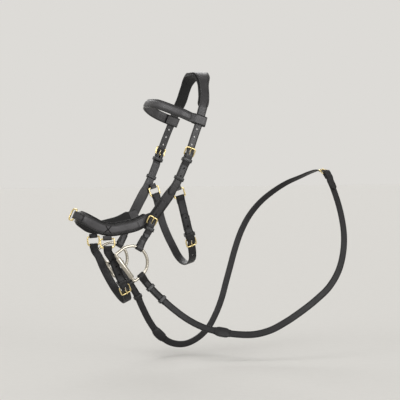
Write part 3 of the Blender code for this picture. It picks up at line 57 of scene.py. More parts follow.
# Leather
STRAP_THICKNESS = 0.0032
TURN_THICKNESS = 0.0020
TAB_THICKNESS = 0.0016
REIN_THICKNESS = 0.0030
LAYER_GAP = 0.0005
HOLE_RADIUS = 0.0020
HOLE_PITCH = 0.019
SLOT_WIDTH = 0.0040
STITCH_PITCH = 0.0054
# How far the tools for slots and holes reach past the leather
TURN_CUT_UNDER = 0.001
TURN_CUT_OVER = 0.0004
BILLET_CUT_UNDER = 0.002
BILLET_CUT_OVER = 0.004

# Widths of the straps, and half the length over which a width blends into the next
POLL_WIDTH = 0.038
HEADPIECE_WIDTH = 0.021
BILLET_WIDTH = 0.018
CHEEKPIECE_WIDTH = 0.025
BROWBAND_WIDTH = 0.023
NOSEBAND_WIDTH = 0.025
BIT_STRAP_WIDTH = 0.016
JAW_STRAP_WIDTH = 0.019
CHIN_STRAP_WIDTH = 0.019
REIN_WIDTH = 0.016
WIDTH_BLEND = 0.006

# Linings and raised centres
PAD_THICKNESS = 0.006
PAD_BORDER = 0.003
POLL_PAD_REACH = 0.118
HEADPIECE_CROWN = 0.0004
NOSE_PAD_THICKNESS = 0.003
RAISED_HEIGHT = 0.0022
RAISED_MARGIN = 0.004
RAISED_SLOPE = 0.003
RAISED_END = 0.004

# Buckles
BUCKLE_WIRE = 0.0014
BUCKLE_REACH = 0.017
BUCKLE_CORNER = 0.004
BUCKLE_BITE = 0.0004
EDGE_PLAY = 0.0010
TONGUE_WIRE = 0.0011
TONGUE_SEAT = 0.0003
TONGUE_TIP = 0.0016
TONGUE_WRAP = math.radians(240.0)
SLOT_START = 0.0008
SLOT_END = 0.0122
TURN_LENGTH = 0.015
TURN_CLOSE = 0.008
TURN_FALL = 0.009

# Keepers
KEEPER_LENGTH = 0.008
KEEPER_WALL = 0.0018
KEEPER_CORNER = 0.0019
KEEPER_EDGE = 0.0008
KEEPER_PLAY = 0.0006
KEEPER_SET = 0.0120
RUNNER_SET = 0.057

# Where the pieces sit along the headpiece and cheekpiece, from the headpiece's middle
BROWBAND_AT = 0.150
CHEEK_HEEL_AT = 0.235
CHEEK_BILLET_END = 0.334
HEADPIECE_FALL = 0.016
JUNCTION_AT = 0.399
CHEEKPIECE_TAIL = 0.013
WIDENING_START = 0.312
WIDENING_END = 0.336

# Browband loops
LOOP_ROOM = 0.0012
LOOP_TURN = 0.018

# Rings of the straps
RING_WIRE = 0.00175
RING_PLAY = 0.0005
RING_HUG = RING_WIRE + RING_PLAY
SIDE_RING_HALF_WIDTH = 0.0158
SIDE_RING_DEPTH = 0.0200
SIDE_RING_CORNER = 0.0065
RING_TOP_CORNER = 0.0030
SIDE_RING_AT = 0.0800
SIDE_RING_LEAN_SHARE = 0.18
SIDE_TAB_WIDTH = 0.020
SIDE_TAB_DROP = 0.0070
JAW_RING_HALF_WIDTH = 0.0125
JAW_RING_DEPTH = 0.0190
JAW_RING_AT = 0.313
JAW_RING_SET = 0.0120
JAW_TAB_WIDTH = 0.015
JAW_TAB_LENGTH = 0.0085
NOSE_RING_HALF_WIDTH = 0.0135
NOSE_RING_DEPTH = 0.0200
NOSE_TAB_WIDTH = 0.018
NOSE_TAB_LENGTH = 0.022
NOSE_TAB_SEWN_FROM = 0.004
NOSE_RING_LEAN = math.radians(80.0)
CROSS_HALF_WIDTH = 0.0078
CROSS_HALF_LENGTH = 0.0066
# Thread is 0.5 mm in radius and is drawn at 1 mm, so that the render shows it
THREAD_RADIUS = 0.0010

# Bit
BIT_CENTRE_BACK = -0.3133 * HEAD_LENGTH
BIT_CENTRE_UP = -0.7100 * HEAD_LENGTH
BIT_HALF_SPREAD = 0.069
BIT_WIRE = 0.0035
BIT_RING_RADIUS = 0.0385
BIT_LOOP_ROOM = 0.0014
BIT_HUG = BIT_WIRE + BIT_LOOP_ROOM
BIT_RING_STRAIGHT = 0.0195
BIT_CORNER = 0.004
BIT_TILT = math.radians(36.5)
BIT_STRAP_ANGLE = math.radians(-24.0)
BIT_STRAP_LEAN = math.radians(29.0)
BIT_BILLET_START = 0.045
BIT_STRAP_LEAD = 0.036
BIT_STRAP_BULGE = 0.0050
BIT_BUCKLE_BACK = 0.002
REIN_ANGLE = math.radians(88.0)
SLEEVE_WALL = 0.0020
SLEEVE_PLAY = 0.0005
SLEEVE_LENGTH = 0.056
SLEEVE_LIP = 0.0009
SLEEVE_WAIST = 0.0006
SLEEVE_WAIST_HALF = 0.40 * SLEEVE_LENGTH
SLEEVE_WAIST_END = 0.002
ARM_RADIUS = 0.0075
ARM_END_RADIUS = 0.0036
ARM_WAIST = 0.0006
ARM_START = 0.0006
ARM_ANGLE = math.radians(14.0)
LINK_HALF_SPREAD = 0.0100
LINK_WIRE = 0.0022
LINK_HALF_HEIGHT = 0.0060
LINK_BEAN_RADIUS = 0.0048
LINK_BEAN_FLARE = 0.0006
EYE_RADIUS = 0.0050
EYE_WIRE = 0.0020

# Chin and jaw straps, and reins
CHIN_HEEL_AT = 0.098
CHIN_TIP_AT = 0.030
JAW_HEEL_AT = 0.100
JAW_TIP_AT = 0.040
REIN_TAIL = 0.085
REIN_KEEPER_SHARES = (0.33, 0.78)
REIN_STOP_LENGTH = 0.040
REIN_STOP_WIDTH = 0.026
REIN_STOP_THICKNESS = 0.011
REIN_STOP_SLOT_CORNER = 0.0008
REIN_STOP_AT_SHARES = (0.295, 0.235)
REIN_HEEL_AT = 0.838
REIN_BILLET_TAIL = 0.048
REIN_MIDDLE_FROM = 0.020

# How finely the surfaces are drawn
STATION = 0.0015
ALONG_STEP = 0.0024
FILL_STEP = 0.0022
RING_STEP = 0.002
FINE_STEP = 0.001
WIRE_STEP = 0.0006
SLOPE_REACH = 0.0004
END_ROUND = 0.0009

# Shares of the fitting sizes. Columns: across (of CHEEK_HALF_WIDTH), back and up (of HEAD_LENGTH),
# then the direction that the leather faces there.
CROWN_SHARES = (
    (0.000, 0.0000, 0.0000, 0.00, 0.00, 1.00),
    (0.111, 0.0000, 0.0000, 0.00, 0.00, 1.00),
    (0.222, 0.0000, 0.0000, 0.06, 0.00, 1.00),
    (0.350, -0.0020, -0.0060, 0.38, 0.00, 0.92),
    (0.480, -0.0070, -0.0210, 0.72, 0.00, 0.70),
    (0.620, -0.0125, -0.0520, 0.90, 0.00, 0.43),
    (0.744, -0.0190, -0.0910, 0.95, 0.00, 0.31),
    (0.844, -0.0333, -0.1317, 0.97, -0.04, 0.24),
    (0.911, -0.0467, -0.1717, 0.98, -0.04, 0.18),
    (0.956, -0.0717, -0.2350, 0.99, -0.04, 0.10),
    (0.983, -0.0967, -0.3017, 1.00, -0.04, 0.03),
    (0.978, -0.1217, -0.3633, 1.00, -0.06, -0.05),
    (0.956, -0.1433, -0.4100, 0.99, -0.10, -0.10),
    (0.911, -0.1683, -0.4517, 0.97, -0.16, -0.15),
    (0.838, -0.1967, -0.4950, 0.95, -0.21, -0.20),
    (0.756, -0.2235, -0.5367, 0.94, -0.24, -0.23),
    (0.706, -0.2390, -0.5610, 0.94, -0.25, -0.24),
)
BROW_SHARES = (
    (0.000, -0.1950, -0.1085, 0.00, -0.86, 0.51),
    (0.180, -0.1935, -0.1085, 0.12, -0.85, 0.50),
    (0.400, -0.1850, -0.1110, 0.35, -0.82, 0.45),
    (0.610, -0.1660, -0.1210, 0.62, -0.70, 0.36),
    (0.780, -0.1400, -0.1340, 0.84, -0.48, 0.26),
    (0.880, -0.1130, -0.1460, 0.93, -0.28, 0.22),
)
NOSE_SHARES = (
    (0.000, -0.4800, -0.5400, 0.00, -0.90, 0.43),
    (0.110, -0.4785, -0.5415, 0.22, -0.88, 0.42),
    (0.230, -0.4700, -0.5470, 0.48, -0.80, 0.36),
    (0.350, -0.4510, -0.5590, 0.72, -0.66, 0.22),
    (0.460, -0.4190, -0.5770, 0.90, -0.42, 0.05),
    (0.530, -0.3810, -0.5840, 0.97, -0.22, -0.02),
    (0.580, -0.3360, -0.5775, 0.98, -0.14, -0.05),
    (0.625, -0.2880, -0.5660, 0.98, -0.12, -0.07),
)
JAW_SHARES = (
    (0.880, -0.1080, -0.5300, 0.99, 0.02, -0.10),
    (0.822, -0.0940, -0.5740, 0.98, 0.04, -0.20),
    (0.740, -0.0770, -0.6240, 0.96, 0.06, -0.28),
    (0.630, -0.0620, -0.6640, 0.88, 0.12, -0.45),
    (0.480, -0.0520, -0.6960, 0.60, 0.23, -0.76),
    (0.250, -0.0470, -0.7140, 0.22, 0.28, -0.93),
    (0.000, -0.0460, -0.7190, 0.00, 0.29, -0.96),
)
CHIN_SHARES = (
    (0.505, -0.3870, -0.6950, 0.98, -0.05, -0.10),
    (0.500, -0.3790, -0.6930, 0.97, 0.00, -0.16),
    (0.475, -0.3600, -0.7380, 0.96, 0.04, -0.22),
    (0.425, -0.3370, -0.7860, 0.93, 0.12, -0.32),
    (0.340, -0.3160, -0.8250, 0.75, 0.26, -0.60),
    (0.190, -0.3020, -0.8500, 0.35, 0.40, -0.84),
    (0.000, -0.2970, -0.8590, 0.00, 0.43, -0.90),
)
NOSEBAND_TURN = math.radians(37.0)

# The reins' routes in metres, with the direction that the rein faces
NEAR_REIN = (
    (0.0645, -0.1455, -0.4795, 0.95, -0.16, 0.26),
    (0.0700, -0.1210, -0.5060, 0.93, -0.19, 0.32),
    (0.0775, -0.0900, -0.5350, 0.92, -0.16, 0.36),
    (0.0860, -0.0560, -0.5610, 0.92, -0.10, 0.38),
    (0.0940, -0.0190, -0.5800, 0.92, -0.04, 0.38),
    (0.1020, 0.0190, -0.5900, 0.93, 0.00, 0.36),
    (0.1110, 0.0570, -0.5960, 0.94, 0.00, 0.34),
    (0.1210, 0.0940, -0.5960, 0.95, -0.02, 0.30),
    (0.1300, 0.1290, -0.5870, 0.96, -0.05, 0.26),
    (0.1370, 0.1640, -0.5690, 0.97, -0.06, 0.22),
    (0.1410, 0.2010, -0.5460, 0.97, -0.06, 0.20),
    (0.1400, 0.2400, -0.5200, 0.97, -0.04, 0.20),
    (0.1350, 0.2760, -0.4920, 0.97, -0.02, 0.22),
    (0.1260, 0.3050, -0.4560, 0.96, 0.02, 0.26),
    (0.1140, 0.3230, -0.4160, 0.95, 0.06, 0.30),
    (0.1010, 0.3320, -0.3740, 0.94, 0.08, 0.34),
    (0.0860, 0.3330, -0.3310, 0.92, 0.08, 0.38),
    (0.0690, 0.3290, -0.2890, 0.88, 0.06, 0.46),
    (0.0480, 0.3240, -0.2530, 0.74, 0.05, 0.67),
    (0.0220, 0.3210, -0.2300, 0.38, 0.03, 0.92),
    (-0.0060, 0.3190, -0.2240, -0.08, 0.00, 1.00),
)
OFF_REIN = (
    (-0.0635, -0.1450, -0.4830, -0.96, -0.10, 0.20),
    (-0.0670, -0.1250, -0.5130, -0.96, -0.08, 0.22),
    (-0.0715, -0.1080, -0.5460, -0.96, -0.06, 0.20),
    (-0.0780, -0.0880, -0.5800, -0.96, -0.04, 0.18),
    (-0.0820, -0.0630, -0.6110, -0.96, -0.02, 0.18),
    (-0.0860, -0.0310, -0.6330, -0.96, 0.00, 0.18),
    (-0.0900, 0.0060, -0.6380, -0.96, 0.00, 0.18),
    (-0.0930, 0.0400, -0.6260, -0.96, 0.00, 0.18),
    (-0.0950, 0.0680, -0.6030, -0.97, 0.00, 0.16),
    (-0.0965, 0.0890, -0.5700, -0.98, 0.00, 0.12),
    (-0.0975, 0.1050, -0.5330, -0.98, 0.00, 0.10),
    (-0.0980, 0.1170, -0.4930, -0.98, 0.00, 0.10),
    (-0.0980, 0.1290, -0.4520, -0.98, 0.00, 0.10),
    (-0.0975, 0.1410, -0.4110, -0.98, 0.00, 0.12),
    (-0.0960, 0.1560, -0.3700, -0.97, 0.00, 0.18),
    (-0.0930, 0.1760, -0.3330, -0.95, 0.00, 0.26),
    (-0.0890, 0.2030, -0.3010, -0.92, -0.02, 0.36),
    (-0.0830, 0.2350, -0.2750, -0.86, -0.04, 0.48),
    (-0.0730, 0.2680, -0.2540, -0.76, -0.06, 0.62),
    (-0.0560, 0.2960, -0.2400, -0.58, -0.06, 0.80),
    (-0.0330, 0.3125, -0.2290, -0.40, -0.02, 0.91),
)

SIDES = (("near", 1), ("off", -1))
X_AXIS = np.array((1.0, 0.0, 0.0))
# The bit's two directions in side view: down along a cheek's bar, and back from it
BAR_WAY = np.array((0.0, math.sin(BIT_TILT), -math.cos(BIT_TILT)))
BACK_WAY = np.array((0.0, math.cos(BIT_TILT), math.sin(BIT_TILT)))
BODY_OF = {node: body for body, nodes in frame["record"]["behaviour"]["bodies"].items() for node in nodes}
MATERIALS = {}
SUFFIX = "_finished"

# Lines and routes

def unit(vector):
    """A vector, or rows of vectors, divided by its length."""
    vector = np.asarray(vector, dtype=float)
    return vector / np.linalg.norm(vector, axis=-1, keepdims=True)


def mirrored(values):
    """Places, directions or rows of both on the other side of the bridle: X changes its sign."""
    values = np.array(values, dtype=float)
    values[..., ::3] *= -1.0
    return values


def symmetric(half):
    """Rows from the off side through the first row to the near side."""
    half = np.array(half, dtype=float)
    return np.concatenate((mirrored(half[:0:-1]), half))


def sized(shares):
    """Shares as rows of metres: across times the half width, back and up times the length."""
    return np.array(shares) * (CHEEK_HALF_WIDTH, HEAD_LENGTH, HEAD_LENGTH, 1.0, 1.0, 1.0)


def route_rows(places, facing):
    """Places with the direction that the leather faces there, as rows of a route."""
    return np.concatenate(np.broadcast_arrays(places, facing), axis=-1)


def ease(share):
    """0 below 0, 1 above 1, and 3t^2 - 2t^3 between."""
    share = np.clip(share, 0.0, 1.0)
    return share * share * (3.0 - 2.0 * share)


def rounded(table, times, closed=False):
    """Rows whose corners are cut a few times.

    Each corner becomes two places, a quarter and three quarters of the way to the next row.
    """
    for _ in range(times):
        after = np.roll(table, -1, axis=0) if closed else table[1:]
        before = table if closed else table[:-1]
        pairs = np.stack((0.75 * before + 0.25 * after, 0.25 * before + 0.75 * after), axis=1)
        pairs = pairs.reshape(-1, table.shape[1])
        table = pairs if closed else np.concatenate((table[:1], pairs, table[-1:]))
    return table


def run_of(table):
    """The distance along rows of places."""
    steps = np.linalg.norm(np.diff(table, axis=0), axis=1)
    return np.concatenate(([0.0], np.cumsum(steps)))


def read_at(distance, run, table):
    """Every column of a table at distances along it, blended in straight lines."""
    return np.stack([np.interp(distance, run, column) for column in table.T], axis=-1)


def thinned(distance, least=1.5e-4):
    """Sorted distances less those that follow the one before by less than the least step."""
    distance = np.unique(distance)
    keep = np.concatenate(([True], np.diff(distance) > least))
    keep[-1] = True
    return distance[keep]


def refined(rows, step):
    """Rows with others filled in at each step along their first two columns."""
    table = np.array(rows, dtype=float)
    run = run_of(table[:, :2])
    return read_at(thinned(np.concatenate((run, np.arange(0.0, run[-1], step)))), run, table)


def spaced(total, step, first=END_ROUND, last=END_ROUND):
    """Distances a step apart, and closer to each end, where they go as 1 - cos of even angles."""
    turn = 1.0 - np.cos(np.linspace(0.0, np.pi / 2, 9))
    middle = np.linspace(first, total - last, max(2, math.ceil((total - first - last) / step) + 1))
    return thinned(np.concatenate((turn * first, middle, total - turn * last)))


class Route:
    """A smooth line in space with a direction along, across and out at every s.

    It is a cubic through the rows, with each row's slope from its neighbours, read at stations a
    small step apart. Beyond its ends it goes on straight.
    """

    def __init__(self, rows, centred=False):
        table = np.array(rows, dtype=float)
        knots = run_of(table[:, :3])
        slopes = np.gradient(table, knots, axis=0)
        fine = np.linspace(0.0, knots[-1], 40 * len(knots))
        cell = np.clip(np.searchsorted(knots, fine, side="right") - 1, 0, len(knots) - 2)
        width = (knots[cell + 1] - knots[cell])[:, None]
        t = (fine[:, None] - knots[cell][:, None]) / width
        line = ((2 * t**3 - 3 * t**2 + 1) * table[cell] + (t**3 - 2 * t**2 + t) * width * slopes[cell]
                + (3 * t**2 - 2 * t**3) * table[cell + 1] + (t**3 - t**2) * width * slopes[cell + 1])
        run = run_of(line[:, :3])
        self.length = float(run[-1])
        self.zero = self.length / 2 if centred else 0.0
        self.even = np.linspace(0.0, self.length, math.ceil(self.length / STATION) + 1)
        spots = read_at(self.even, run, line)
        self.origin = spots[:, :3]
        along = unit(np.gradient(self.origin, axis=0))
        self.out = unit(spots[:, 3:] - (spots[:, 3:] * along).sum(axis=1)[:, None] * along)
        self.across = np.cross(self.out, along)

    def frame_at(self, s):
        """Origin, along, across and out at places s."""
        spot = np.asarray(s, dtype=float) + self.zero
        inside = np.clip(spot, 0.0, self.length)
        origin = read_at(inside, self.even, self.origin)
        across = unit(read_at(inside, self.even, self.across))
        out = unit(read_at(inside, self.even, self.out))
        along = np.cross(across, out)
        return origin + (spot - inside)[..., None] * along, along, across, out

    def place(self, s, w=0.0, n=0.0):
        """origin(s) + w across(s) + n out(s), for numbers or whole arrays."""
        s, w, n = np.broadcast_arrays(*(np.asarray(x, dtype=float) for x in (s, w, n)))
        origin, _, across, out = self.frame_at(s)
        return origin + w[..., None] * across + n[..., None] * out

    def heading(self, s):
        """The direction along the strap at s."""
        return self.frame_at(s)[1]

    def sideways(self, s):
        """The direction across the strap at s."""
        return self.frame_at(s)[2]

    def facing(self, s):
        """The direction out of the leather's outer face at s."""
        return self.frame_at(s)[3]


class Line:
    """The side view of one strap: s, the n of its inner face and its thickness.

    The rows are filled to a small step and their corners cut twice, so a corner becomes a short
    curve. The thickness grows to the left of the way the line runs when side is 1.
    """

    def __init__(self, route, rows, side=1):
        self.route, self.side = route, side
        self.table = rounded(refined(rows, FILL_STEP), 2)
        self.run = run_of(self.table[:, :2])
        self.length = float(self.run[-1])

    def at(self, distance):
        """s, n and thickness at distances, and the two parts of the direction of thickness."""
        spot = read_at(distance, self.run, self.table)
        ahead = read_at(np.minimum(distance + SLOPE_REACH, self.length), self.run, self.table)
        behind = read_at(np.maximum(distance - SLOPE_REACH, 0.0), self.run, self.table)
        way = unit((ahead - behind)[:, :2])
        return spot[:, 0], spot[:, 1], spot[:, 2], -way[:, 1] * self.side, way[:, 0] * self.side


def layer(thickness, *places):
    """Rows of one thickness, from places in s and n."""
    return [(s, n, thickness) for s, n in places]


def around(bar_s, bar_n, hug, way, thickness, steps=14):
    """The rows of a strap that turns half round a bar, from its outer side to its inner one."""
    angle = math.pi / 2 - math.pi * np.linspace(0.0, 1.0, steps + 1)
    return layer(thickness, *zip(bar_s + way * hug * np.cos(angle), bar_n + hug * np.sin(angle)))


def turn_back(bar_s, hug, way):
    """The rows of a strap's end that turns half round a bar, from its inner side to its outer one."""
    return around(bar_s, hug + TURN_THICKNESS, hug, way, TURN_THICKNESS)[::-1]


def both_ways(half):
    """Rows on from the middle, and before them the same rows mirrored in s."""
    return [(-s, n, thickness) for s, n, thickness in reversed(half) if s] + half


def arc(centre, first, second, radius, end, steps):
    """Places round a centre: first times cos and second times sin of even angles from 0 to end."""
    angle = np.linspace(0.0, end, steps + 1)[:, None]
    return np.asarray(centre) + radius * (np.cos(angle) * first + np.sin(angle) * second)


# Shells and pieces

def shell(places, rows_closed=False, maps=None):
    """A closed skin over a grid of places whose columns run round it.

    Each face joins four neighbours. Open rows are closed by one flat face at each end. maps holds
    the coordinates of each UV map, which may have one more row than places where the rows close.
    The skin is turned inside out where its volume comes out below zero.
    """
    rows, columns = places.shape[:2]
    i, j = np.meshgrid(np.arange(rows if rows_closed else rows - 1), np.arange(columns), indexing="ij")
    corners = ((i, j), (i + 1, j), (i + 1, j + 1), (i, j + 1))
    quads = np.stack([(a % rows) * columns + b % columns for a, b in corners], axis=-1).reshape(-1, 4)
    points = places.reshape(-1, 3)
    four = (points[quads] - points.mean(axis=0)).transpose(1, 0, 2)
    volume = (np.cross(four[0], four[1]) * four[2]).sum() + (np.cross(four[0], four[2]) * four[3]).sum()
    order = [0, 1, 2, 3] if volume > 0 else [3, 2, 1, 0]
    faces = quads[:, order].tolist()
    laid = {}
    for name, values in (maps or {}).items():
        four = np.stack([values[a % len(values), b % columns] for a, b in corners], axis=-2)
        laid[name] = [four.reshape(-1, 4, 2)[:, order].reshape(-1, 2)]
    if not rows_closed:
        ring = np.arange(columns)[::1 if volume > 0 else -1]
        for end in (ring, (rows - 1) * columns + ring[::-1]):
            faces.append(end.tolist())
            for name, values in (maps or {}).items():
                laid[name].append(values[end // columns, end % columns])
    return points, faces, {name: np.concatenate(values) for name, values in laid.items()}


def leather_maps(across, along, inset, height, sewn=0.0):
    """The UV maps that leather is drawn from, each of two coordinates given as numbers or arrays."""
    across, along, inset, height, sewn = np.broadcast_arrays(across, along, inset, height, sewn)
    pairs = {"Place": (across, along), "Edge": (inset, height), "Sewn": (sewn, np.zeros(sewn.shape))}
    return {name: np.stack(pair, axis=-1) for name, pair in pairs.items()}


def into_scene(name, data):
    """A new object in the scene's own collection."""
    made = bpy.data.objects.new(name, data)
    bpy.context.scene.collection.objects.link(made)
    return made


def put_together(name, shells, finish, sharp=50.0):
    """One object from shells, each face with its shell's UV coordinates."""
    points = np.concatenate([part[0] for part in shells])
    faces, start = [], 0
    for part in shells:
        faces += [[corner + start for corner in face] for face in part[1]]
        start += len(part[0])
    mesh = bpy.data.meshes.new(name)
    mesh.from_pydata(points.tolist(), [], faces)
    for map_name in shells[0][2]:
        layer_data = mesh.uv_layers.new(name=map_name).data
        layer_data.foreach_set("uv", np.concatenate([part[2][map_name] for part in shells]).ravel())
    mesh.shade_smooth()
    mesh.set_sharp_from_angle(angle=math.radians(sharp))
    mesh.materials.append(MATERIALS[finish])
    return into_scene(name, mesh)


def dress(piece, node_name):
    """The piece stands for a CAD node and moves with it."""
    piece.name = piece.data.name = node_name + SUFFIX
    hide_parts(node_name)
    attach(piece, BODY_OF[node_name])
    return piece


def cut(piece, tools):
    """Cut closed shells out of a piece in one exact Boolean."""
    if not tools:
        return piece
    tool = put_together("tool", tools, "bridle_leather")
    modifier = piece.modifiers.new("cut", "BOOLEAN")
    modifier.operation = "DIFFERENCE"
    modifier.solver = "EXACT"
    modifier.object = tool
    result = bpy.data.meshes.new_from_object(piece.evaluated_get(bpy.context.evaluated_depsgraph_get()))
    result.set_sharp_from_angle(angle=math.radians(50.0))
    piece.modifiers.clear()
    spares = (piece.data, tool.data)
    piece.data = result
    bpy.data.objects.remove(tool, do_unlink=True)
    for spare in spares:
        bpy.data.meshes.remove(spare)
    return piece


def punch(route, first, last, radius, low, high):
    """A tool for a hole, or for a slot from first to last: half circles in s and w, drawn out in n."""
    angle = np.linspace(-np.pi / 2, np.pi / 2, 9)
    low_s, high_s = sorted((first, last))
    s = np.concatenate((high_s + radius * np.cos(angle), low_s - radius * np.cos(angle)))
    w = radius * np.concatenate((np.sin(angle), -np.sin(angle)))
    places = route.place(s[None, :], w[None, :], np.array((low, high))[:, None])
    return shell(places, maps=leather_maps(0.0, 0.0, 0.0, np.zeros((2, len(s)))))


# Straps

def profile(top=7, under=4, edge=0.38, roll=5):
    """The cut end of a strap, anticlockwise from the left of its top.

    Columns: c, the share of the half width less the edge; a, multiples of the edge's radius; b,
    the share of the thickness. The edges are quarter circles.
    """
    turn = np.linspace(0.0, np.pi / 2, roll)
    rise, fall = edge * (1.0 - np.cos(turn)), edge * (1.0 - np.sin(turn))
    side = np.ones(roll)
    rows = np.concatenate((
        np.stack((np.linspace(-1.0, 1.0, top), np.zeros(top), np.ones(top)), axis=1),
        np.stack((side, np.sin(turn), 1.0 - rise), axis=1)[1:],
        np.stack((side, np.cos(turn), fall), axis=1)[:-1],
        np.stack((np.linspace(1.0, -1.0, under), np.zeros(under), np.zeros(under)), axis=1),
        np.stack((-side, -np.sin(turn), rise), axis=1)[1:],
        np.stack((-side, -np.cos(turn), 1.0 - fall), axis=1)[:-1]))
    keep = np.linalg.norm(rows - np.roll(rows, 1, axis=0), axis=1) > 1e-6
    return rows[keep], edge


PLAIN = profile()
CROWNED = profile(top=25)
ROUND = profile(top=7, under=7, edge=0.5, roll=7)


def raised_lift(w, half):
    """The height of a padded centre at w: an eased step inside each margin, then 0.8 to 1 as 1 - x^2."""
    inner = np.clip(np.abs(w) / (half - RAISED_MARGIN), 0.0, 1.0)
    step = ease((half - np.abs(w) - RAISED_MARGIN) / RAISED_SLOPE)
    return RAISED_HEIGHT * step * (0.80 + 0.20 * (1.0 - inner**2))


def strap(name, line, width, finish="bridle_leather", section=PLAIN, tips=(0.0, 0.0), raised=None,
          sewn=(), tools=(), crown=0.0):
    """A strap in place of the CAD node of its name: its profile carried along its line.

    A place is s and n of the line plus the profile's share of the thickness along the line's
    normal, and the profile's share of the half width across. Near an end, inside the tip's radius
    r, the half width falls by r - sqrt(r^2 - (r - d)^2) at d from the end. raised is the (first,
    last) s of a padded centre, which rises by an eased step at its ends. sewn holds (first, last)
    s of stretches with stitches along both edges. crown lifts the middle as 1 - x^2.
    """
    rows, edge_share = section
    spots, sizes = zip(*(width if isinstance(width, list) else [(0.0, width)]))
    widest = max(sizes)
    tip = [max(share * widest / 2, END_ROUND) for share in tips]
    distance = spaced(line.length, ALONG_STEP, *tip)
    s, n, thick, normal_s, normal_n = line.at(distance)
    shifts = np.linspace(-WIDTH_BLEND, WIDTH_BLEND, 7)
    half = np.mean([np.interp(np.abs(s + shift), spots, sizes) for shift in shifts], axis=0) / 2
    for share, radius, gap in zip(tips, tip, (distance, line.length - distance)):
        if share:
            left = np.clip(radius - gap, 0.0, radius)
            half = half - (radius - np.sqrt(radius**2 - left**2)) * half / (widest / 2)
    left = np.clip(END_ROUND - np.minimum(distance, line.length - distance), 0.0, END_ROUND)
    plump = np.maximum(np.sqrt(END_ROUND**2 - left**2) / END_ROUND, 0.3)
    half = half[:, None]
    edge = np.minimum(edge_share * thick[:, None], 0.9 * half)
    c, a, b = rows.T
    w = c * (half - edge) + a * edge
    height = thick[:, None] * (0.5 + (b - 0.5) * plump[:, None])
    if raised:
        mask = ease((s - raised[0]) / RAISED_END) * ease((raised[1] - s) / RAISED_END)
        height = height + raised_lift(w, half) * mask[:, None] * (b > 0.9)
    height = height + crown * (1.0 - (w / half) ** 2) * (b > 0.9)
    places = line.route.place(s[:, None] + normal_s[:, None] * height, w,
                              n[:, None] + normal_n[:, None] * height)
    stitched = np.any([np.zeros_like(s)] + [(s > first) & (s < last) for first, last in sewn], axis=0)
    maps = leather_maps(w, distance[:, None], half - np.abs(w), b, 1.0 * stitched[:, None])
    return dress(cut(put_together(name, [shell(places, maps=maps)], finish), tools), name)


def frame_loop(half_across, half_up, corner, steps):
    """A rectangle with round corners, anticlockwise, and the direction out at each place.

    corner is the radius of all four, or four radii from the one at the upper right.
    """
    angle = np.concatenate([np.linspace(k, k + 1, steps + 1) * np.pi / 2 for k in range(4)])
    signs = np.repeat(np.array(((1, 1), (-1, 1), (-1, -1), (1, -1)), dtype=float), steps + 1, axis=0)
    corner = np.repeat(np.broadcast_to(corner, 4), steps + 1)[:, None]
    out = np.stack((np.cos(angle), np.sin(angle)), axis=1)
    return signs * (np.array((half_across, half_up)) - corner) + corner * out, out


def keeper(name, route, at, width, low, high):
    """A sewn loop of leather: a small rounded band carried once round a rounded rectangle in w and n."""
    half_across = width / 2 + KEEPER_PLAY + KEEPER_WALL / 2
    half_up = (high - low) / 2 + KEEPER_PLAY + KEEPER_WALL / 2
    path, out = frame_loop(half_across, half_up, min(KEEPER_CORNER, 0.9 * half_up), 6)
    band = frame_loop(KEEPER_LENGTH / 2, KEEPER_WALL / 2, KEEPER_EDGE, 4)[0]
    along, outer = band[:, 0], band[:, 1] > 0
    swell = band[:, 1] * (1.0 + 0.25 * (1.0 - (2 * along / KEEPER_LENGTH) ** 2) * outer)
    w = path[:, :1] + out[:, :1] * swell
    places = route.place(at + along, w, (low + high) / 2 + path[:, 1:] + out[:, 1:] * swell)
    far = run_of(np.concatenate((path, path[:1])))
    maps = leather_maps(along, far[:, None], KEEPER_LENGTH / 2 - np.abs(along), 1.0 * outer)
    return dress(put_together(name, [shell(places, True, maps)], "bridle_leather"), name)


# Wires

def wire(points, radius, normal, closed=True, flat=1.0, sides=16):
    """A round bar along a path: at each place, radius times (cos a side + flat sin a up).

    side is square to the path and to normal. radius is a number or one per place. An open bar
    ends in a half ball: its radius falls as sqrt(1 - (1 - d / r)^2) at d from the end.
    """
    radius = np.broadcast_to(radius, (len(points),))
    if closed:
        tangent = np.roll(points, -1, axis=0) - np.roll(points, 1, axis=0)
    else:
        run = run_of(points)
        ends = float(radius[0]), float(radius[-1])
        far = spaced(run[-1], WIRE_STEP, *ends)
        radius = np.interp(far, run, radius)
        points = read_at(far, run, points)
        for size, gap in zip(ends, (far, run[-1] - far)):
            short = np.clip(1.0 - gap / size, 0.0, 1.0)
            radius = radius * np.maximum(np.sqrt(1.0 - short**2), 0.06)
        tangent = np.gradient(points, axis=0)
    tangent = unit(tangent)
    side = unit(np.cross(tangent, normal))
    up = np.cross(side, tangent)
    angle = np.linspace(0.0, 2 * np.pi, sides, endpoint=False)[None, :, None]
    round_it = np.cos(angle) * side[:, None] + flat * np.sin(angle) * up[:, None]
    return shell(points[:, None] + radius[:, None, None] * round_it, rows_closed=closed)


def turned(centre, axis, side, section, steps=28):
    """A closed section of (radius, height) rows, turned round an axis: radius times (cos a, sin a)."""
    angle = np.linspace(0.0, 2 * np.pi, steps, endpoint=False)[:, None, None]
    way = np.cos(angle) * side + np.sin(angle) * np.cross(axis, side)
    return shell(centre + section[None, :, :1] * way + section[None, :, 1:] * axis, rows_closed=True)


def metal(name, shells, finish):
    """A metal piece from its shells, in place of the CAD node of its name."""
    return dress(put_together(name, shells, finish, sharp=60.0), name)


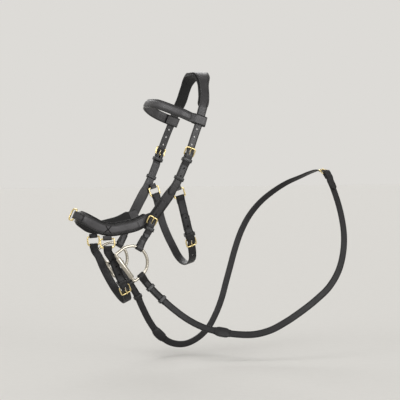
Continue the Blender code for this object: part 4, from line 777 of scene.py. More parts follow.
class Ring:
    """A wire loop with a straight top bar, in the plane of two directions, in place of a CAD node.

    Its corners are quarter circles, small at the bar and large at the bottom. The wire is round at
    the bar and 1.15 times as thick at the bottom.
    """

    def __init__(self, name, bar, along, down, half_width, depth, corner):
        self.bar, self.down, self.depth = bar, unit(down), depth
        along = unit(along)
        self.out = np.cross(along, self.down)
        loop = frame_loop(half_width, depth / 2, (corner, corner, RING_TOP_CORNER, RING_TOP_CORNER), 10)[0]
        loop = refined(np.concatenate((loop, loop[:1])), RING_STEP)[:-1] + (0.0, depth / 2)
        points = bar + loop[:, :1] * along + loop[:, 1:] * self.down
        radius = RING_WIRE * (1.0 + 0.15 * ease(loop[:, 1] / depth))
        metal(name, [wire(points, radius, self.out)], "polished_brass")


class Fastening:
    """A buckle on a route: where its bars are and how the two straps pass it.

    The heel bar carries the buckle strap's turned end. The punched billet passes under the free
    bar and over the heel bar. u is the distance from the heel bar towards the free bar.
    """

    def __init__(self, route, heel, toward, width, base=0.0, billet_base=None):
        self.route, self.heel, self.toward, self.width, self.base = route, heel, toward, width, base
        self.billet_base = base if billet_base is None else billet_base
        self.hug = BUCKLE_WIRE + LAYER_GAP
        self.lift = base + TURN_THICKNESS + 2 * self.hug + LAYER_GAP
        self.heel_n = self.lift - self.hug
        self.close = base + TURN_THICKNESS + 2 * LAYER_GAP
        self.over = self.lift + TURN_THICKNESS + LAYER_GAP
        self.stack = self.close + STRAP_THICKNESS + 2 * LAYER_GAP
        self.free_n = self.billet_base + STRAP_THICKNESS + BUCKLE_BITE + BUCKLE_WIRE

    def s(self, u):
        """The place on the route at u."""
        return self.heel + self.toward * u

    def buckle_rows(self):
        """The buckle strap from the keeper side to the heel bar, round it and back under itself."""
        tail = self.base + TURN_THICKNESS
        return (layer(STRAP_THICKNESS, (self.s(-TURN_LENGTH - TURN_FALL), self.base),
                      (self.s(-TURN_LENGTH - LAYER_GAP), self.close), (self.s(-TURN_CLOSE), self.close))
                + layer(TURN_THICKNESS, (self.s(-self.hug), self.lift))
                + around(self.heel, self.heel_n, self.hug, self.toward, TURN_THICKNESS)
                + layer(TURN_THICKNESS, (self.s(-TURN_CLOSE + LAYER_GAP), tail),
                        (self.s(-TURN_LENGTH), tail)))

    def billet_rows(self, end, end_n=None):
        """The billet's inner line, from the free side over the buckle to its end at s."""
        on_stack = self.stack + LAYER_GAP
        on_base = self.base + STRAP_THICKNESS + 2 * LAYER_GAP
        return layer(STRAP_THICKNESS, (self.s(BUCKLE_REACH + BUCKLE_CORNER), self.billet_base),
                     (self.s(BUCKLE_REACH - BUCKLE_WIRE), self.billet_base),
                     (self.s(self.hug), self.over), (self.s(-self.hug), self.over),
                     (self.s(-TURN_CLOSE), on_stack), (self.s(-TURN_LENGTH - LAYER_GAP), on_stack),
                     (self.s(-TURN_LENGTH - TURN_FALL), on_base),
                     (end, on_base if end_n is None else end_n))

    def opening(self, first, last, radius, low, high):
        """The tool for an opening from u of first to u of last and from n of low to n of high."""
        return punch(self.route, self.s(first), self.s(last), radius, low, high)

    def turn_slot(self):
        """The tool for the tongue's slot in the turned end."""
        return self.opening(-self.hug - 2 * TONGUE_WIRE - SLOT_WIDTH / 2, 2 * self.hug + TURN_THICKNESS,
                            SLOT_WIDTH / 2, self.base - TURN_CUT_UNDER,
                            self.lift + TURN_THICKNESS + TURN_CUT_OVER)

    def billet_openings(self, *steps):
        """Tools for the hole in use, drawn long by the tongue, and for round ones whole pitches from it."""
        depth = self.billet_base - BILLET_CUT_UNDER, self.over + STRAP_THICKNESS + BILLET_CUT_OVER
        used = self.opening(SLOT_START + SLOT_WIDTH / 2, SLOT_END - SLOT_WIDTH / 2, SLOT_WIDTH / 2, *depth)
        spots = [(SLOT_START + SLOT_END) / 2 - step * HOLE_PITCH for step in steps]
        return [used] + [self.opening(u, u, HOLE_RADIUS, *depth) for u in spots]

    def sewn_end(self):
        """The stretch of route over which the turned end is sewn down."""
        return tuple(sorted((self.s(-TURN_LENGTH), self.s(-TURN_CLOSE / 2))))

    def frame(self, name):
        """The buckle's frame: a bar round an open rectangle that tilts from the heel bar to the free bar.

        It is 1.25 times as wide as thick at the free bar and round at the heel bar, where each
        corner is cut off over the wire's radius.
        """
        half = self.width / 2 + EDGE_PLAY + BUCKLE_WIRE
        angle = np.linspace(np.pi / 2, 0.0, 7)
        turn_u = BUCKLE_REACH - BUCKLE_CORNER * (1 - np.cos(angle))
        turn_w = half - BUCKLE_CORNER * (1 - np.sin(angle))
        cut_off = BUCKLE_WIRE * np.array((0.0, 0.3, 1.0))
        u = np.concatenate((cut_off, np.linspace(3 * BUCKLE_WIRE, turn_u[0], 5)[:-1], turn_u))
        w = np.concatenate((half - cut_off[::-1], np.full(4, half), turn_w))
        bar = np.linspace(1.0, -1.0, 9)[1:-1]
        outline = rounded(np.concatenate((np.stack((u, w), axis=1),
                                          np.stack((np.full(7, BUCKLE_REACH), bar * w[-1]), axis=1),
                                          np.stack((u, -w), axis=1)[::-1],
                                          np.stack((np.zeros(7), -bar * w[0]), axis=1))), 1, closed=True)
        share = np.clip(outline[:, 0] / BUCKLE_REACH, 0.0, 1.0)
        points = self.route.place(self.s(outline[:, 0]), outline[:, 1],
                                  self.heel_n + (self.free_n - self.heel_n) * share)
        out = self.route.facing(self.s(BUCKLE_REACH / 2))
        radius = BUCKLE_WIRE * (1.0 + 0.25 * ease(share * 2.0))
        metal(name, [wire(points, radius, out, flat=0.86)], "polished_brass")

    def tongue(self, name):
        """The tongue: an eye most of the way round the heel bar, then a shank over the free bar."""
        eye = BUCKLE_WIRE + TONGUE_SEAT + TONGUE_WIRE
        angle = np.pi / 2 + TONGUE_WRAP * np.linspace(1.0, 0.0, 22)
        turns = np.stack((eye * np.cos(angle), self.heel_n + eye * np.sin(angle)), axis=1)
        shank = ((BUCKLE_REACH / 2, (self.heel_n + self.free_n) / 2 + eye),
                 (BUCKLE_REACH, self.free_n + eye), (BUCKLE_REACH + TONGUE_TIP, self.free_n + eye))
        path = rounded(refined(np.concatenate((turns, shank)), FINE_STEP), 2)
        points = self.route.place(self.s(path[:, 0]), 0.0, path[:, 1])
        across = self.route.sideways(self.heel)
        metal(name, [wire(points, TONGUE_WIRE, across, closed=False, sides=12)], "polished_brass")

    def fit(self, names, with_keeper=True):
        """The frame, its tongue and the keeper sewn next to it; names has a gap for the kind of piece."""
        self.frame(names % "buckle")
        self.tongue(names % "tongue")
        if with_keeper:
            keeper(names % "keeper", self.route, self.s(-KEEPER_SET), self.width, self.base,
                   self.stack + LAYER_GAP + STRAP_THICKNESS)


# Headpiece, cheekpieces and bands

def head_routes():
    """The routes of the headpiece with its cheekpieces, the browband and the noseband."""
    crown = Route(symmetric(sized(CROWN_SHARES)), centred=True)
    ends = np.array((-1.0, 0.0, 1.0))
    under = crown.place(BROWBAND_AT, ends * HEADPIECE_WIDTH, 0.0)
    brow = np.concatenate((sized(BROW_SHARES), route_rows(under, crown.facing(BROWBAND_AT))))
    corner = crown.place(JUNCTION_AT, 0.0, -(NOSE_PAD_THICKNESS + STRAP_THICKNESS + 3 * LAYER_GAP))
    forward = (crown.heading(JUNCTION_AT) * math.cos(NOSEBAND_TURN)
               - crown.sideways(JUNCTION_AT) * math.sin(NOSEBAND_TURN))
    under = corner - forward * (ends[:, None] * NOSEBAND_WIDTH / 2)
    nose = np.concatenate((sized(NOSE_SHARES), route_rows(under, crown.facing(JUNCTION_AT))))
    return crown, Route(symmetric(brow), centred=True), Route(symmetric(nose), centred=True)


def make_headpiece(crown):
    """The headpiece strap and the lining under it; gives back the two cheek fastenings."""
    high = PAD_THICKNESS + 2 * LAYER_GAP
    low = TURN_THICKNESS + LOOP_ROOM
    fastenings = {side: Fastening(crown, sign * CHEEK_HEEL_AT, -sign, BILLET_WIDTH, billet_base=low)
                  for side, sign in SIDES}
    fall_start = POLL_PAD_REACH + 2 * LAYER_GAP
    half = layer(STRAP_THICKNESS, (fall_start, high), (fall_start + HEADPIECE_FALL, low))
    widths = [(0.0, POLL_WIDTH), (POLL_WIDTH / 2, POLL_WIDTH), (POLL_PAD_REACH / 2, HEADPIECE_WIDTH),
              (BROWBAND_AT, HEADPIECE_WIDTH), (BROWBAND_AT + HEADPIECE_FALL, BILLET_WIDTH)]
    tools = [tool for fastening in fastenings.values()
             for tool in fastening.billet_openings(-3, -2, -1, 2, 3)]
    line = Line(crown, both_ways(half + fastenings["near"].billet_rows(CHEEK_BILLET_END)))
    strap("headpiece", line, widths, tips=(0.9, 0.9), sewn=[(-POLL_PAD_REACH, POLL_PAD_REACH)],
          tools=tools, crown=HEADPIECE_CROWN)
    line = Line(crown, both_ways(layer(PAD_THICKNESS, (POLL_PAD_REACH, 0.0))))
    widths = [(at, size + 2 * PAD_BORDER) for at, size in widths[:3]]
    strap("poll_pad", line, widths, "soft_lining", ROUND, (0.5, 0.5))
    return fastenings


def make_cheekpieces(crown, fastenings):
    """Each cheekpiece with its buckle, tongue and keepers."""
    tail = JUNCTION_AT + CHEEKPIECE_TAIL
    widths = [(0.0, BILLET_WIDTH), (WIDENING_START, BILLET_WIDTH), (WIDENING_END, CHEEKPIECE_WIDTH)]
    for side, sign in SIDES:
        fastening = fastenings[side]
        rows = layer(STRAP_THICKNESS, (sign * tail, 0.0)) + fastening.buckle_rows()
        sewn = [fastening.sewn_end(), tuple(sorted((sign * WIDENING_END, sign * tail)))]
        strap("cheekpiece_" + side, Line(crown, rows, side=-sign), widths, tips=(0.6, 0.0), sewn=sewn,
              tools=[fastening.turn_slot()])
        fastening.fit("cheek_%s_" + side)
        keeper("cheek_runner_" + side, crown, fastening.s(-RUNNER_SET), BILLET_WIDTH, 0.0,
               2 * STRAP_THICKNESS + 2 * LAYER_GAP)


def make_browband(brow):
    """The browband: a raised band whose ends loop round the headpiece."""
    cross = brow.length / 2 - HEADPIECE_WIDTH
    edge = cross + HEADPIECE_WIDTH / 2 + LOOP_ROOM
    rise = cross - HEADPIECE_WIDTH / 2 - LOOP_ROOM
    raise_to = rise - LOOP_TURN / 2
    inner_n = TURN_THICKNESS
    outer_n = TURN_THICKNESS + 2 * LOOP_ROOM + STRAP_THICKNESS
    half = (layer(STRAP_THICKNESS, (0.0, inner_n + LAYER_GAP), (raise_to, inner_n + LAYER_GAP))
            + layer(TURN_THICKNESS, (rise, outer_n))
            + around(edge, (inner_n + outer_n) / 2, (outer_n - inner_n) / 2, 1, TURN_THICKNESS)
            + layer(TURN_THICKNESS, (edge - LOOP_TURN - HEADPIECE_WIDTH / 2, inner_n)))
    strap("browband", Line(brow, both_ways(half)), BROWBAND_WIDTH, "painted_sheen_band_leather", CROWNED,
          raised=(-raise_to, raise_to), sewn=[(-raise_to, raise_to)])


def make_noseband(nose):
    """The noseband and its lining, whose edges roll out past the leather."""
    under = NOSE_PAD_THICKNESS + LAYER_GAP
    end = nose.length / 2
    raise_to = end - 2 * NOSEBAND_WIDTH
    line = Line(nose, both_ways(layer(STRAP_THICKNESS, (end, under))))
    strap("noseband", line, NOSEBAND_WIDTH, "painted_sheen_band_leather", CROWNED, (0.6, 0.6),
          raised=(-raise_to, raise_to), sewn=[(-end, end)])
    line = Line(nose, both_ways(layer(NOSE_PAD_THICKNESS, (end - NOSEBAND_WIDTH, 0.0))))
    width = NOSEBAND_WIDTH + 2 * PAD_BORDER
    strap("noseband_pad", line, width, "soft_lining", ROUND, (0.5, 0.5))
    for side, sign in SIDES:
        cross_stitches("noseband_cross_stitches_" + side, nose, sign * SIDE_RING_AT,
                       under + STRAP_THICKNESS)


def cross_stitches(name, nose, at, base):
    """Two crossing runs of thread over the noseband's raised middle, above a side ring.

    A run is straight in s and w, from one corner of a rectangle round the place to the other, and
    follows the leather: base plus the raised middle's height at w, with half the thread sunk in.
    """
    share = np.linspace(-1.0, 1.0, 17)
    w = share * CROSS_HALF_WIDTH
    n = base + raised_lift(w, NOSEBAND_WIDTH / 2)
    runs = [wire(nose.place(at + way * share * CROSS_HALF_LENGTH, w, n), THREAD_RADIUS, nose.facing(at),
                 closed=False, sides=8) for way in (1, -1)]
    piece = put_together(name, runs, "waxed_thread")
    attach(piece, BODY_OF["noseband"])


def hang_ring(kind, side, start, down, facing, drop, bar_n, tab_width, *size):
    """A ring and the tab that it hangs on, both on a straight route down from the start."""
    route = Route(route_rows(start + down * (drop * np.arange(3.0))[:, None], facing))
    turn = drop - 2 * RING_HUG
    rows = (layer(TAB_THICKNESS, (0.0, bar_n + LAYER_GAP / 2), (turn, bar_n + LAYER_GAP / 2))
            + around(drop, bar_n, RING_HUG, 1, TAB_THICKNESS)
            + layer(TAB_THICKNESS, (turn, bar_n - LAYER_GAP / 2), (0.0, bar_n - LAYER_GAP / 2)))
    strap(kind + "_ring_tab_" + side, Line(route, rows), tab_width)
    return Ring(kind + "_ring_" + side, route.place(drop, 0.0, bar_n), route.sideways(0.0), down, *size)


def make_side_rings(nose):
    """The rings under the noseband, each with its tab; gives the near one back."""
    rings = []
    for side, sign in SIDES:
        at = sign * SIDE_RING_AT
        edge = -(NOSEBAND_WIDTH / 2 + LAYER_GAP + SIDE_RING_LEAN_SHARE * SIDE_TAB_WIDTH / 2)
        down = unit(nose.heading(at) * (sign * SIDE_RING_LEAN_SHARE) - nose.sideways(at))
        start = nose.place(at, edge, NOSE_PAD_THICKNESS + LAYER_GAP)
        rings.append(hang_ring("side", side, start, down, nose.facing(at), SIDE_TAB_DROP,
                               TAB_THICKNESS + LAYER_GAP / 2, SIDE_TAB_WIDTH, SIDE_RING_HALF_WIDTH,
                               SIDE_RING_DEPTH, SIDE_RING_CORNER))
    return rings[0]


def make_nose_ring(nose):
    """The ring on the front of the noseband, lying over to the off side."""
    low = NOSE_PAD_THICKNESS + 2 * LAYER_GAP + STRAP_THICKNESS + RAISED_HEIGHT + TAB_THICKNESS
    front = low + LAYER_GAP
    rows = (layer(TAB_THICKNESS, (NOSE_TAB_LENGTH, front), (3 * RING_HUG, front))
            + around(0.0, low + RING_HUG, RING_HUG, -1, TAB_THICKNESS)
            + layer(TAB_THICKNESS, (NOSE_TAB_LENGTH, low)))
    strap("nose_ring_tab", Line(nose, rows, side=-1), NOSE_TAB_WIDTH, tips=(0.3, 0.3),
          sewn=[(NOSE_TAB_SEWN_FROM, NOSE_TAB_LENGTH)])
    lean = nose.facing(0.0) * math.cos(NOSE_RING_LEAN) - nose.heading(0.0) * math.sin(NOSE_RING_LEAN)
    Ring("nose_ring", nose.place(0.0, 0.0, low + RING_HUG), nose.sideways(0.0), lean,
         NOSE_RING_HALF_WIDTH, NOSE_RING_DEPTH, SIDE_RING_CORNER)


def make_jaw_rings(crown):
    """The rings behind the cheekpieces, each with its tab; gives the near one back."""
    top, after = sized(JAW_SHARES)[:2, :3]
    bar = crown.place(JAW_RING_AT, JAW_RING_SET, -(RING_HUG + TAB_THICKNESS + LAYER_GAP))
    facing = crown.facing(JAW_RING_AT)
    down = unit(after - top)
    down = unit(down - facing * (down @ facing))
    near = np.stack((bar - down * JAW_TAB_LENGTH, down, facing))
    rings = [hang_ring("jaw", side, *(near if sign > 0 else mirrored(near)), JAW_TAB_LENGTH, 0.0,
                       JAW_TAB_WIDTH, JAW_RING_HALF_WIDTH, JAW_RING_DEPTH, RING_TOP_CORNER)
             for side, sign in SIDES]
    return rings[0]


def two_strap_route(ring, shares):
    """A route from the near ring's bottom wire down and across to the off ring's."""
    facing = ring.out * math.copysign(1.0, ring.out[0])
    start = ring.bar + ring.down * ring.depth - facing * (RING_HUG + RING_PLAY + TURN_THICKNESS)
    first = route_rows(np.stack((start, start + ring.down * TURN_CLOSE)), facing)
    half = np.concatenate((first, sized(shares)[1:]))
    return Route(np.concatenate((half, mirrored(half[-2::-1]))))


def make_two_straps(name, route, width, heel, tip):
    """A strap that buckles on the near side: the buckle half and the punched half."""
    base = TURN_THICKNESS + 2 * LAYER_GAP
    fastening = Fastening(route, heel, 1, width, base)
    near, off = (layer(TURN_THICKNESS, (bar_s - way * TURN_LENGTH, TURN_THICKNESS))
                 + turn_back(bar_s, RING_HUG + RING_PLAY, way)
                 + layer(STRAP_THICKNESS, (bar_s - way * TURN_CLOSE, base))
                 for bar_s, way in ((0.0, -1), (route.length, 1)))
    strap(name + "_strap", Line(route, near + fastening.buckle_rows()), width, "rein_leather",
          tools=[fastening.turn_slot()], sewn=[(TURN_CLOSE / 2, TURN_LENGTH), fastening.sewn_end()])
    strap(name + "_billet", Line(route, off + fastening.billet_rows(tip), side=-1), width, "rein_leather",
          tips=(0.0, 0.9), tools=fastening.billet_openings(-3, -2, 2, 3),
          sewn=[(route.length - TURN_LENGTH, route.length - TURN_CLOSE / 2)])
    fastening.fit(name + "_%s")


# Bit and its straps

def bar_centre(sign):
    """The middle of a cheek's bar, which is straight in front of the middle of its bow."""
    return np.array((sign * BIT_HALF_SPREAD, BIT_CENTRE_BACK, BIT_CENTRE_UP)) - BACK_WAY * BIT_RING_STRAIGHT


def inside_cheek(sign, angle):
    """A place inside a cheek's bow, where a strap's loop lies against the wire, and the way out to it."""
    way = BACK_WAY * math.cos(angle) + BAR_WAY * math.sin(angle)
    middle = bar_centre(sign) + BACK_WAY * BIT_RING_STRAIGHT
    return middle + way * BIT_RING_RADIUS - X_AXIS * (sign * (BIT_HUG + TURN_THICKNESS)), way


def make_bit_straps(crown):
    """The short straps that hang the bit from the cheekpieces."""
    inside, _ = inside_cheek(1, BIT_STRAP_ANGLE)
    lead = np.array((0.0, math.sin(BIT_STRAP_LEAN), math.cos(BIT_STRAP_LEAN)))
    along = JUNCTION_AT - BIT_BILLET_START * np.linspace(1.0, 0.0, 4)
    up = np.array((BIT_STRAP_LEAD, BIT_STRAP_LEAD / 2, 0.0, -2 * BIT_HUG))[:, None]
    bulge = BIT_STRAP_BULGE * (np.maximum(up, 0.0) / BIT_STRAP_LEAD) ** 2
    near = np.concatenate((
        route_rows(crown.place(along, 0.0, STRAP_THICKNESS + LAYER_GAP / 2), crown.facing(along)),
        route_rows(inside + lead * up + X_AXIS * bulge, X_AXIS)))
    heel = BIT_BILLET_START + BUCKLE_REACH - BIT_BUCKLE_BACK
    back_end = heel + TURN_LENGTH + 2 * TURN_FALL
    base = STRAP_THICKNESS + LAYER_GAP
    for side, sign in SIDES:
        route = Route(near if sign > 0 else mirrored(near))
        bar_s = route.length - 2 * BIT_HUG
        turn = bar_s - 4 * BIT_HUG
        fastening = Fastening(route, heel, -1, BIT_STRAP_WIDTH, LAYER_GAP)
        rows = (layer(STRAP_THICKNESS, (back_end, STRAP_THICKNESS), (turn, STRAP_THICKNESS))
                + turn_back(bar_s, BIT_HUG, 1)
                + layer(STRAP_THICKNESS, (turn, base), (back_end, base)) + fastening.buckle_rows())
        strap("bit_strap_" + side, Line(route, rows, side=-1), BIT_STRAP_WIDTH,
              tools=[fastening.turn_slot()], sewn=[fastening.sewn_end(), (back_end, bar_s - BIT_HUG)])
        rows = (layer(STRAP_THICKNESS, (0.0, LAYER_GAP))
                + fastening.billet_rows(back_end, base + STRAP_THICKNESS + 2 * LAYER_GAP))
        strap("bit_billet_" + side, Line(route, rows), BIT_STRAP_WIDTH, tips=(0.3, 0.9),
              tools=fastening.billet_openings(-1))
        fastening.fit("bit_%s_" + side)


def make_cheeks():
    """The bit's two D-shaped cheeks: a straight bar, two small corners and most of a circle."""
    reach = BAR_WAY * (BIT_RING_RADIUS - BIT_CORNER)
    for side, sign in SIDES:
        bar = bar_centre(sign)
        straight = bar + np.linspace(-1.0, 1.0, 30)[1:-1, None] * reach
        low, high = (
            arc(bar + way * reach + BACK_WAY * BIT_CORNER, first, second, BIT_CORNER, math.pi / 2, 8)
            for way, first, second in ((1, -BACK_WAY, BAR_WAY), (-1, -BAR_WAY, -BACK_WAY)))
        bow = arc(bar + BACK_WAY * BIT_RING_STRAIGHT, BAR_WAY, BACK_WAY, BIT_RING_RADIUS, math.pi, 56)
        points = rounded(np.concatenate((straight, low, bow, high)), 1, closed=True)
        metal("bit_cheek_" + side, [wire(points, BIT_WIRE, X_AXIS, sides=20)], "polished_steel")


def make_mouthpiece():
    """Two arms that turn on the cheeks' bars, and the link between their eyes.

    An arm is a tube on the cheek's bar, waisted between its two lips, a bar that narrows evenly and
    is drawn in by a half sine along its length, and an eye.
    """
    bore = BIT_WIRE + SLEEVE_PLAY
    reach = BIT_HALF_SPREAD - LINK_HALF_SPREAD
    wall = refined(frame_loop(SLEEVE_WALL / 2, SLEEVE_LENGTH / 2, SLEEVE_LIP, 5)[0], FINE_STEP)
    waisted = 1.0 - ease((np.abs(wall[:, 1]) - SLEEVE_WAIST_HALF) / SLEEVE_WAIST_END)
    wall[:, 0] += bore + SLEEVE_WALL / 2 - SLEEVE_WAIST * waisted * (wall[:, 0] > 0)
    joints = []
    for side, sign in SIDES:
        bar = bar_centre(sign)
        run = BACK_WAY * (reach * math.tan(ARM_ANGLE)) - X_AXIS * (sign * reach)
        way = unit(run)
        joints.append(bar + run)
        far = np.linspace(bore + ARM_START, np.linalg.norm(run) - EYE_RADIUS - EYE_WIRE / 2, 40)
        share = (far - far[0]) / (far[-1] - far[0])
        size = ARM_RADIUS + (ARM_END_RADIUS - ARM_RADIUS) * share - ARM_WAIST * np.sin(np.pi * share)
        eye = arc(joints[-1], way, np.cross(way, BAR_WAY), EYE_RADIUS, 2 * math.pi, 40)[:-1]
        metal("mouthpiece_arm_" + side, [turned(bar, BAR_WAY, X_AXIS, wall),
                                         wire(bar + far[:, None] * way, size, BAR_WAY, False, sides=24),
                                         wire(eye, EYE_WIRE, BAR_WAY)], "polished_steel")
    centre = (joints[0] + joints[1]) / 2
    half_run = LINK_HALF_SPREAD - LINK_HALF_HEIGHT
    loop = np.concatenate([arc(centre + X_AXIS * (way * half_run), BAR_WAY * way, X_AXIS * way,
                               LINK_HALF_HEIGHT, math.pi, 24) for way in (1, -1)])
    ring = wire(rounded(loop, 1, closed=True), LINK_WIRE, np.cross(X_AXIS, BAR_WAY))
    far = np.linspace(-1.0, 1.0, 24)
    bean = wire(centre + far[:, None] * BAR_WAY * (LINK_HALF_HEIGHT + LINK_WIRE / 2),
                LINK_BEAN_RADIUS / 2 + LINK_BEAN_FLARE * far**2, X_AXIS, closed=False)
    metal("mouthpiece_link", [ring, bean], "polished_steel")


# Reins

def bit_lead(sign):
    """The first rows of a rein's route, from inside the bit's cheek out past its wire."""
    inside, way = inside_cheek(sign, REIN_ANGLE)
    return route_rows(inside + way * (BIT_HUG * np.array((-2.0, 0.0, 2.6)))[:, None], X_AXIS * sign)


def rein_stop(name, route, at, upper):
    """A stop: a lens of stitched leather round a slot for the rein.

    Along it the outer skin's size goes as (1 - |t|^3.2)^(1/2.4), down to the slot's own size.
    """
    half = REIN_STOP_LENGTH / 2
    slot = np.array((REIN_WIDTH, REIN_THICKNESS)) / 2 + KEEPER_PLAY
    loop, _ = frame_loop(*slot, REIN_STOP_SLOT_CORNER, 8)
    angle = np.arctan2(loop[:, 1] / slot[1], loop[:, 0] / slot[0])
    t = np.sin(np.linspace(-np.pi / 2, np.pi / 2, 27))
    size = (1.0 - np.abs(t * 0.999) ** 3.2) ** (1 / 2.4)
    lens = np.array((REIN_STOP_WIDTH, REIN_STOP_THICKNESS)) / 2 * size[:, None]
    lens = np.maximum(lens, slot + KEEPER_PLAY)[:, None] * np.stack((np.cos(angle), np.sin(angle)), axis=1)
    inner = np.linspace(0.96, -0.96, 14)
    across = np.concatenate((lens, np.broadcast_to(loop, (len(inner), *loop.shape))))
    s = at + half * np.concatenate((t, inner))[:, None]
    w = across[..., 0]
    places = route.place(s, w, upper + REIN_THICKNESS / 2 + across[..., 1])
    skin = shell(places, True, leather_maps(w, s, half - np.abs(s - at), 1.0))
    dress(put_together(name, [skin], "rein_leather"), name)


def make_reins():
    """The reins with their turned ends at the bit, keepers, stops and the buckle that joins them."""
    route = Route(np.concatenate((bit_lead(1), NEAR_REIN, OFF_REIN[::-1], bit_lead(-1)[::-1])))
    upper = TURN_THICKNESS + LAYER_GAP
    starts, sewn = [], []
    for side, bar_s, way in (("near", 2 * BIT_HUG, 1), ("off", route.length - 2 * BIT_HUG, -1)):
        tail, turn = bar_s + way * REIN_TAIL, bar_s + way * 4 * BIT_HUG
        starts.append(layer(TURN_THICKNESS, (tail, TURN_THICKNESS), (turn, TURN_THICKNESS))
                      + turn_back(bar_s, BIT_HUG, -way) + layer(REIN_THICKNESS, (turn, upper)))
        sewn.append(tuple(sorted((bar_s + way * BIT_HUG, tail))))
        for number, share in enumerate(REIN_KEEPER_SHARES, start=1):
            at = bar_s + way * (share * REIN_TAIL + KEEPER_LENGTH)
            keeper("rein_keeper_%s_%d" % (side, number), route, at, REIN_WIDTH, 0.0, upper + REIN_THICKNESS)
    fastening = Fastening(route, REIN_HEEL_AT, 1, REIN_WIDTH, upper)
    tip = REIN_HEEL_AT - REIN_BILLET_TAIL
    near_line = Line(route, starts[0] + fastening.buckle_rows())
    near = strap("rein_near", near_line, REIN_WIDTH, "rein_leather", tools=[fastening.turn_slot()],
                 sewn=[sewn[0], fastening.sewn_end()])
    off_line = Line(route, starts[1] + fastening.billet_rows(tip), side=-1)
    off = strap("rein_off", off_line, REIN_WIDTH, "rein_leather", tips=(0.0, 0.9),
                tools=fastening.billet_openings(), sewn=sewn[1:])
    fastening.fit("rein_%s", with_keeper=False)
    near_share, off_share = REIN_STOP_AT_SHARES
    rein_stop("rein_stop_near", route, near_share * REIN_HEEL_AT, upper)
    rein_stop("rein_stop_off", route, route.length - off_share * REIN_HEEL_AT, upper)
    lie_as_cord(near_line, 1, 2 * BIT_HUG, REIN_HEEL_AT)
    lie_as_cord(off_line, -1, route.length - 2 * BIT_HUG, tip)


def lie_as_cord(line, way, bar_s, last):
    """The path along a rein's centreline, from the bit's wire into the middle of its upper layer, worked
    out and not used.

    It ends at s of last, or where the rein turns back round the buckle's bar.
    """
    s, n, thick, _, normal_n = line.at(np.linspace(0.0, line.length, 500))
    spot = np.arange(len(s))
    inside = (spot >= np.argmin(way * s)) & (spot <= np.argmax(way * s))
    inside &= (way * s <= way * last) & (way * s >= way * bar_s)
    share = ease(way * (s - bar_s) / REIN_MIDDLE_FROM)
    middle = (BIT_HUG + TURN_THICKNESS) * (1.0 - share) + (n + normal_n * thick / 2) * share
    path = line.route.place(s[inside], 0.0, middle[inside])


# Materials

def colour(code):
    """An sRGB hex colour as linear red, green, blue and 1: c / 12.92, or ((c + 0.055) / 1.055)^2.4."""
    share = np.array([int(code[k:k + 2], 16) for k in (1, 3, 5)]) / 255.0
    linear = np.where(share <= 0.04045, share / 12.92, ((share + 0.055) / 1.055) ** 2.4)
    return (*linear.tolist(), 1.0)


def node(tree, kind, inputs=None, **settings):
    """A new node with its settings.

    An input is a value, a socket to link from, or a node whose first output in use is linked.
    """
    made = tree.nodes.new(kind)
    for key, value in settings.items():
        setattr(made, key, value)
    for socket, value in (inputs or {}).items():
        if isinstance(value, bpy.types.Node):
            value = next(output for output in value.outputs if output.enabled)
        if isinstance(value, bpy.types.NodeSocket):
            tree.links.new(value, made.inputs[socket])
        else:
            made.inputs[socket].default_value = value
    return made


def start_material(name):
    """The node tree of a new material, and the place on the object that its noise is read at."""
    MATERIALS[name] = bpy.data.materials.new(name)
    MATERIALS[name].use_nodes = True
    tree = MATERIALS[name].node_tree
    tree.nodes.clear()
    return tree, node(tree, "ShaderNodeTexCoord").outputs["Object"]


def finish_material(tree, inputs):
    """A Principled shader with these inputs, shown on the material's surface."""
    shader = node(tree, "ShaderNodeBsdfPrincipled", inputs)
    node(tree, "ShaderNodeOutputMaterial", {"Surface": shader})


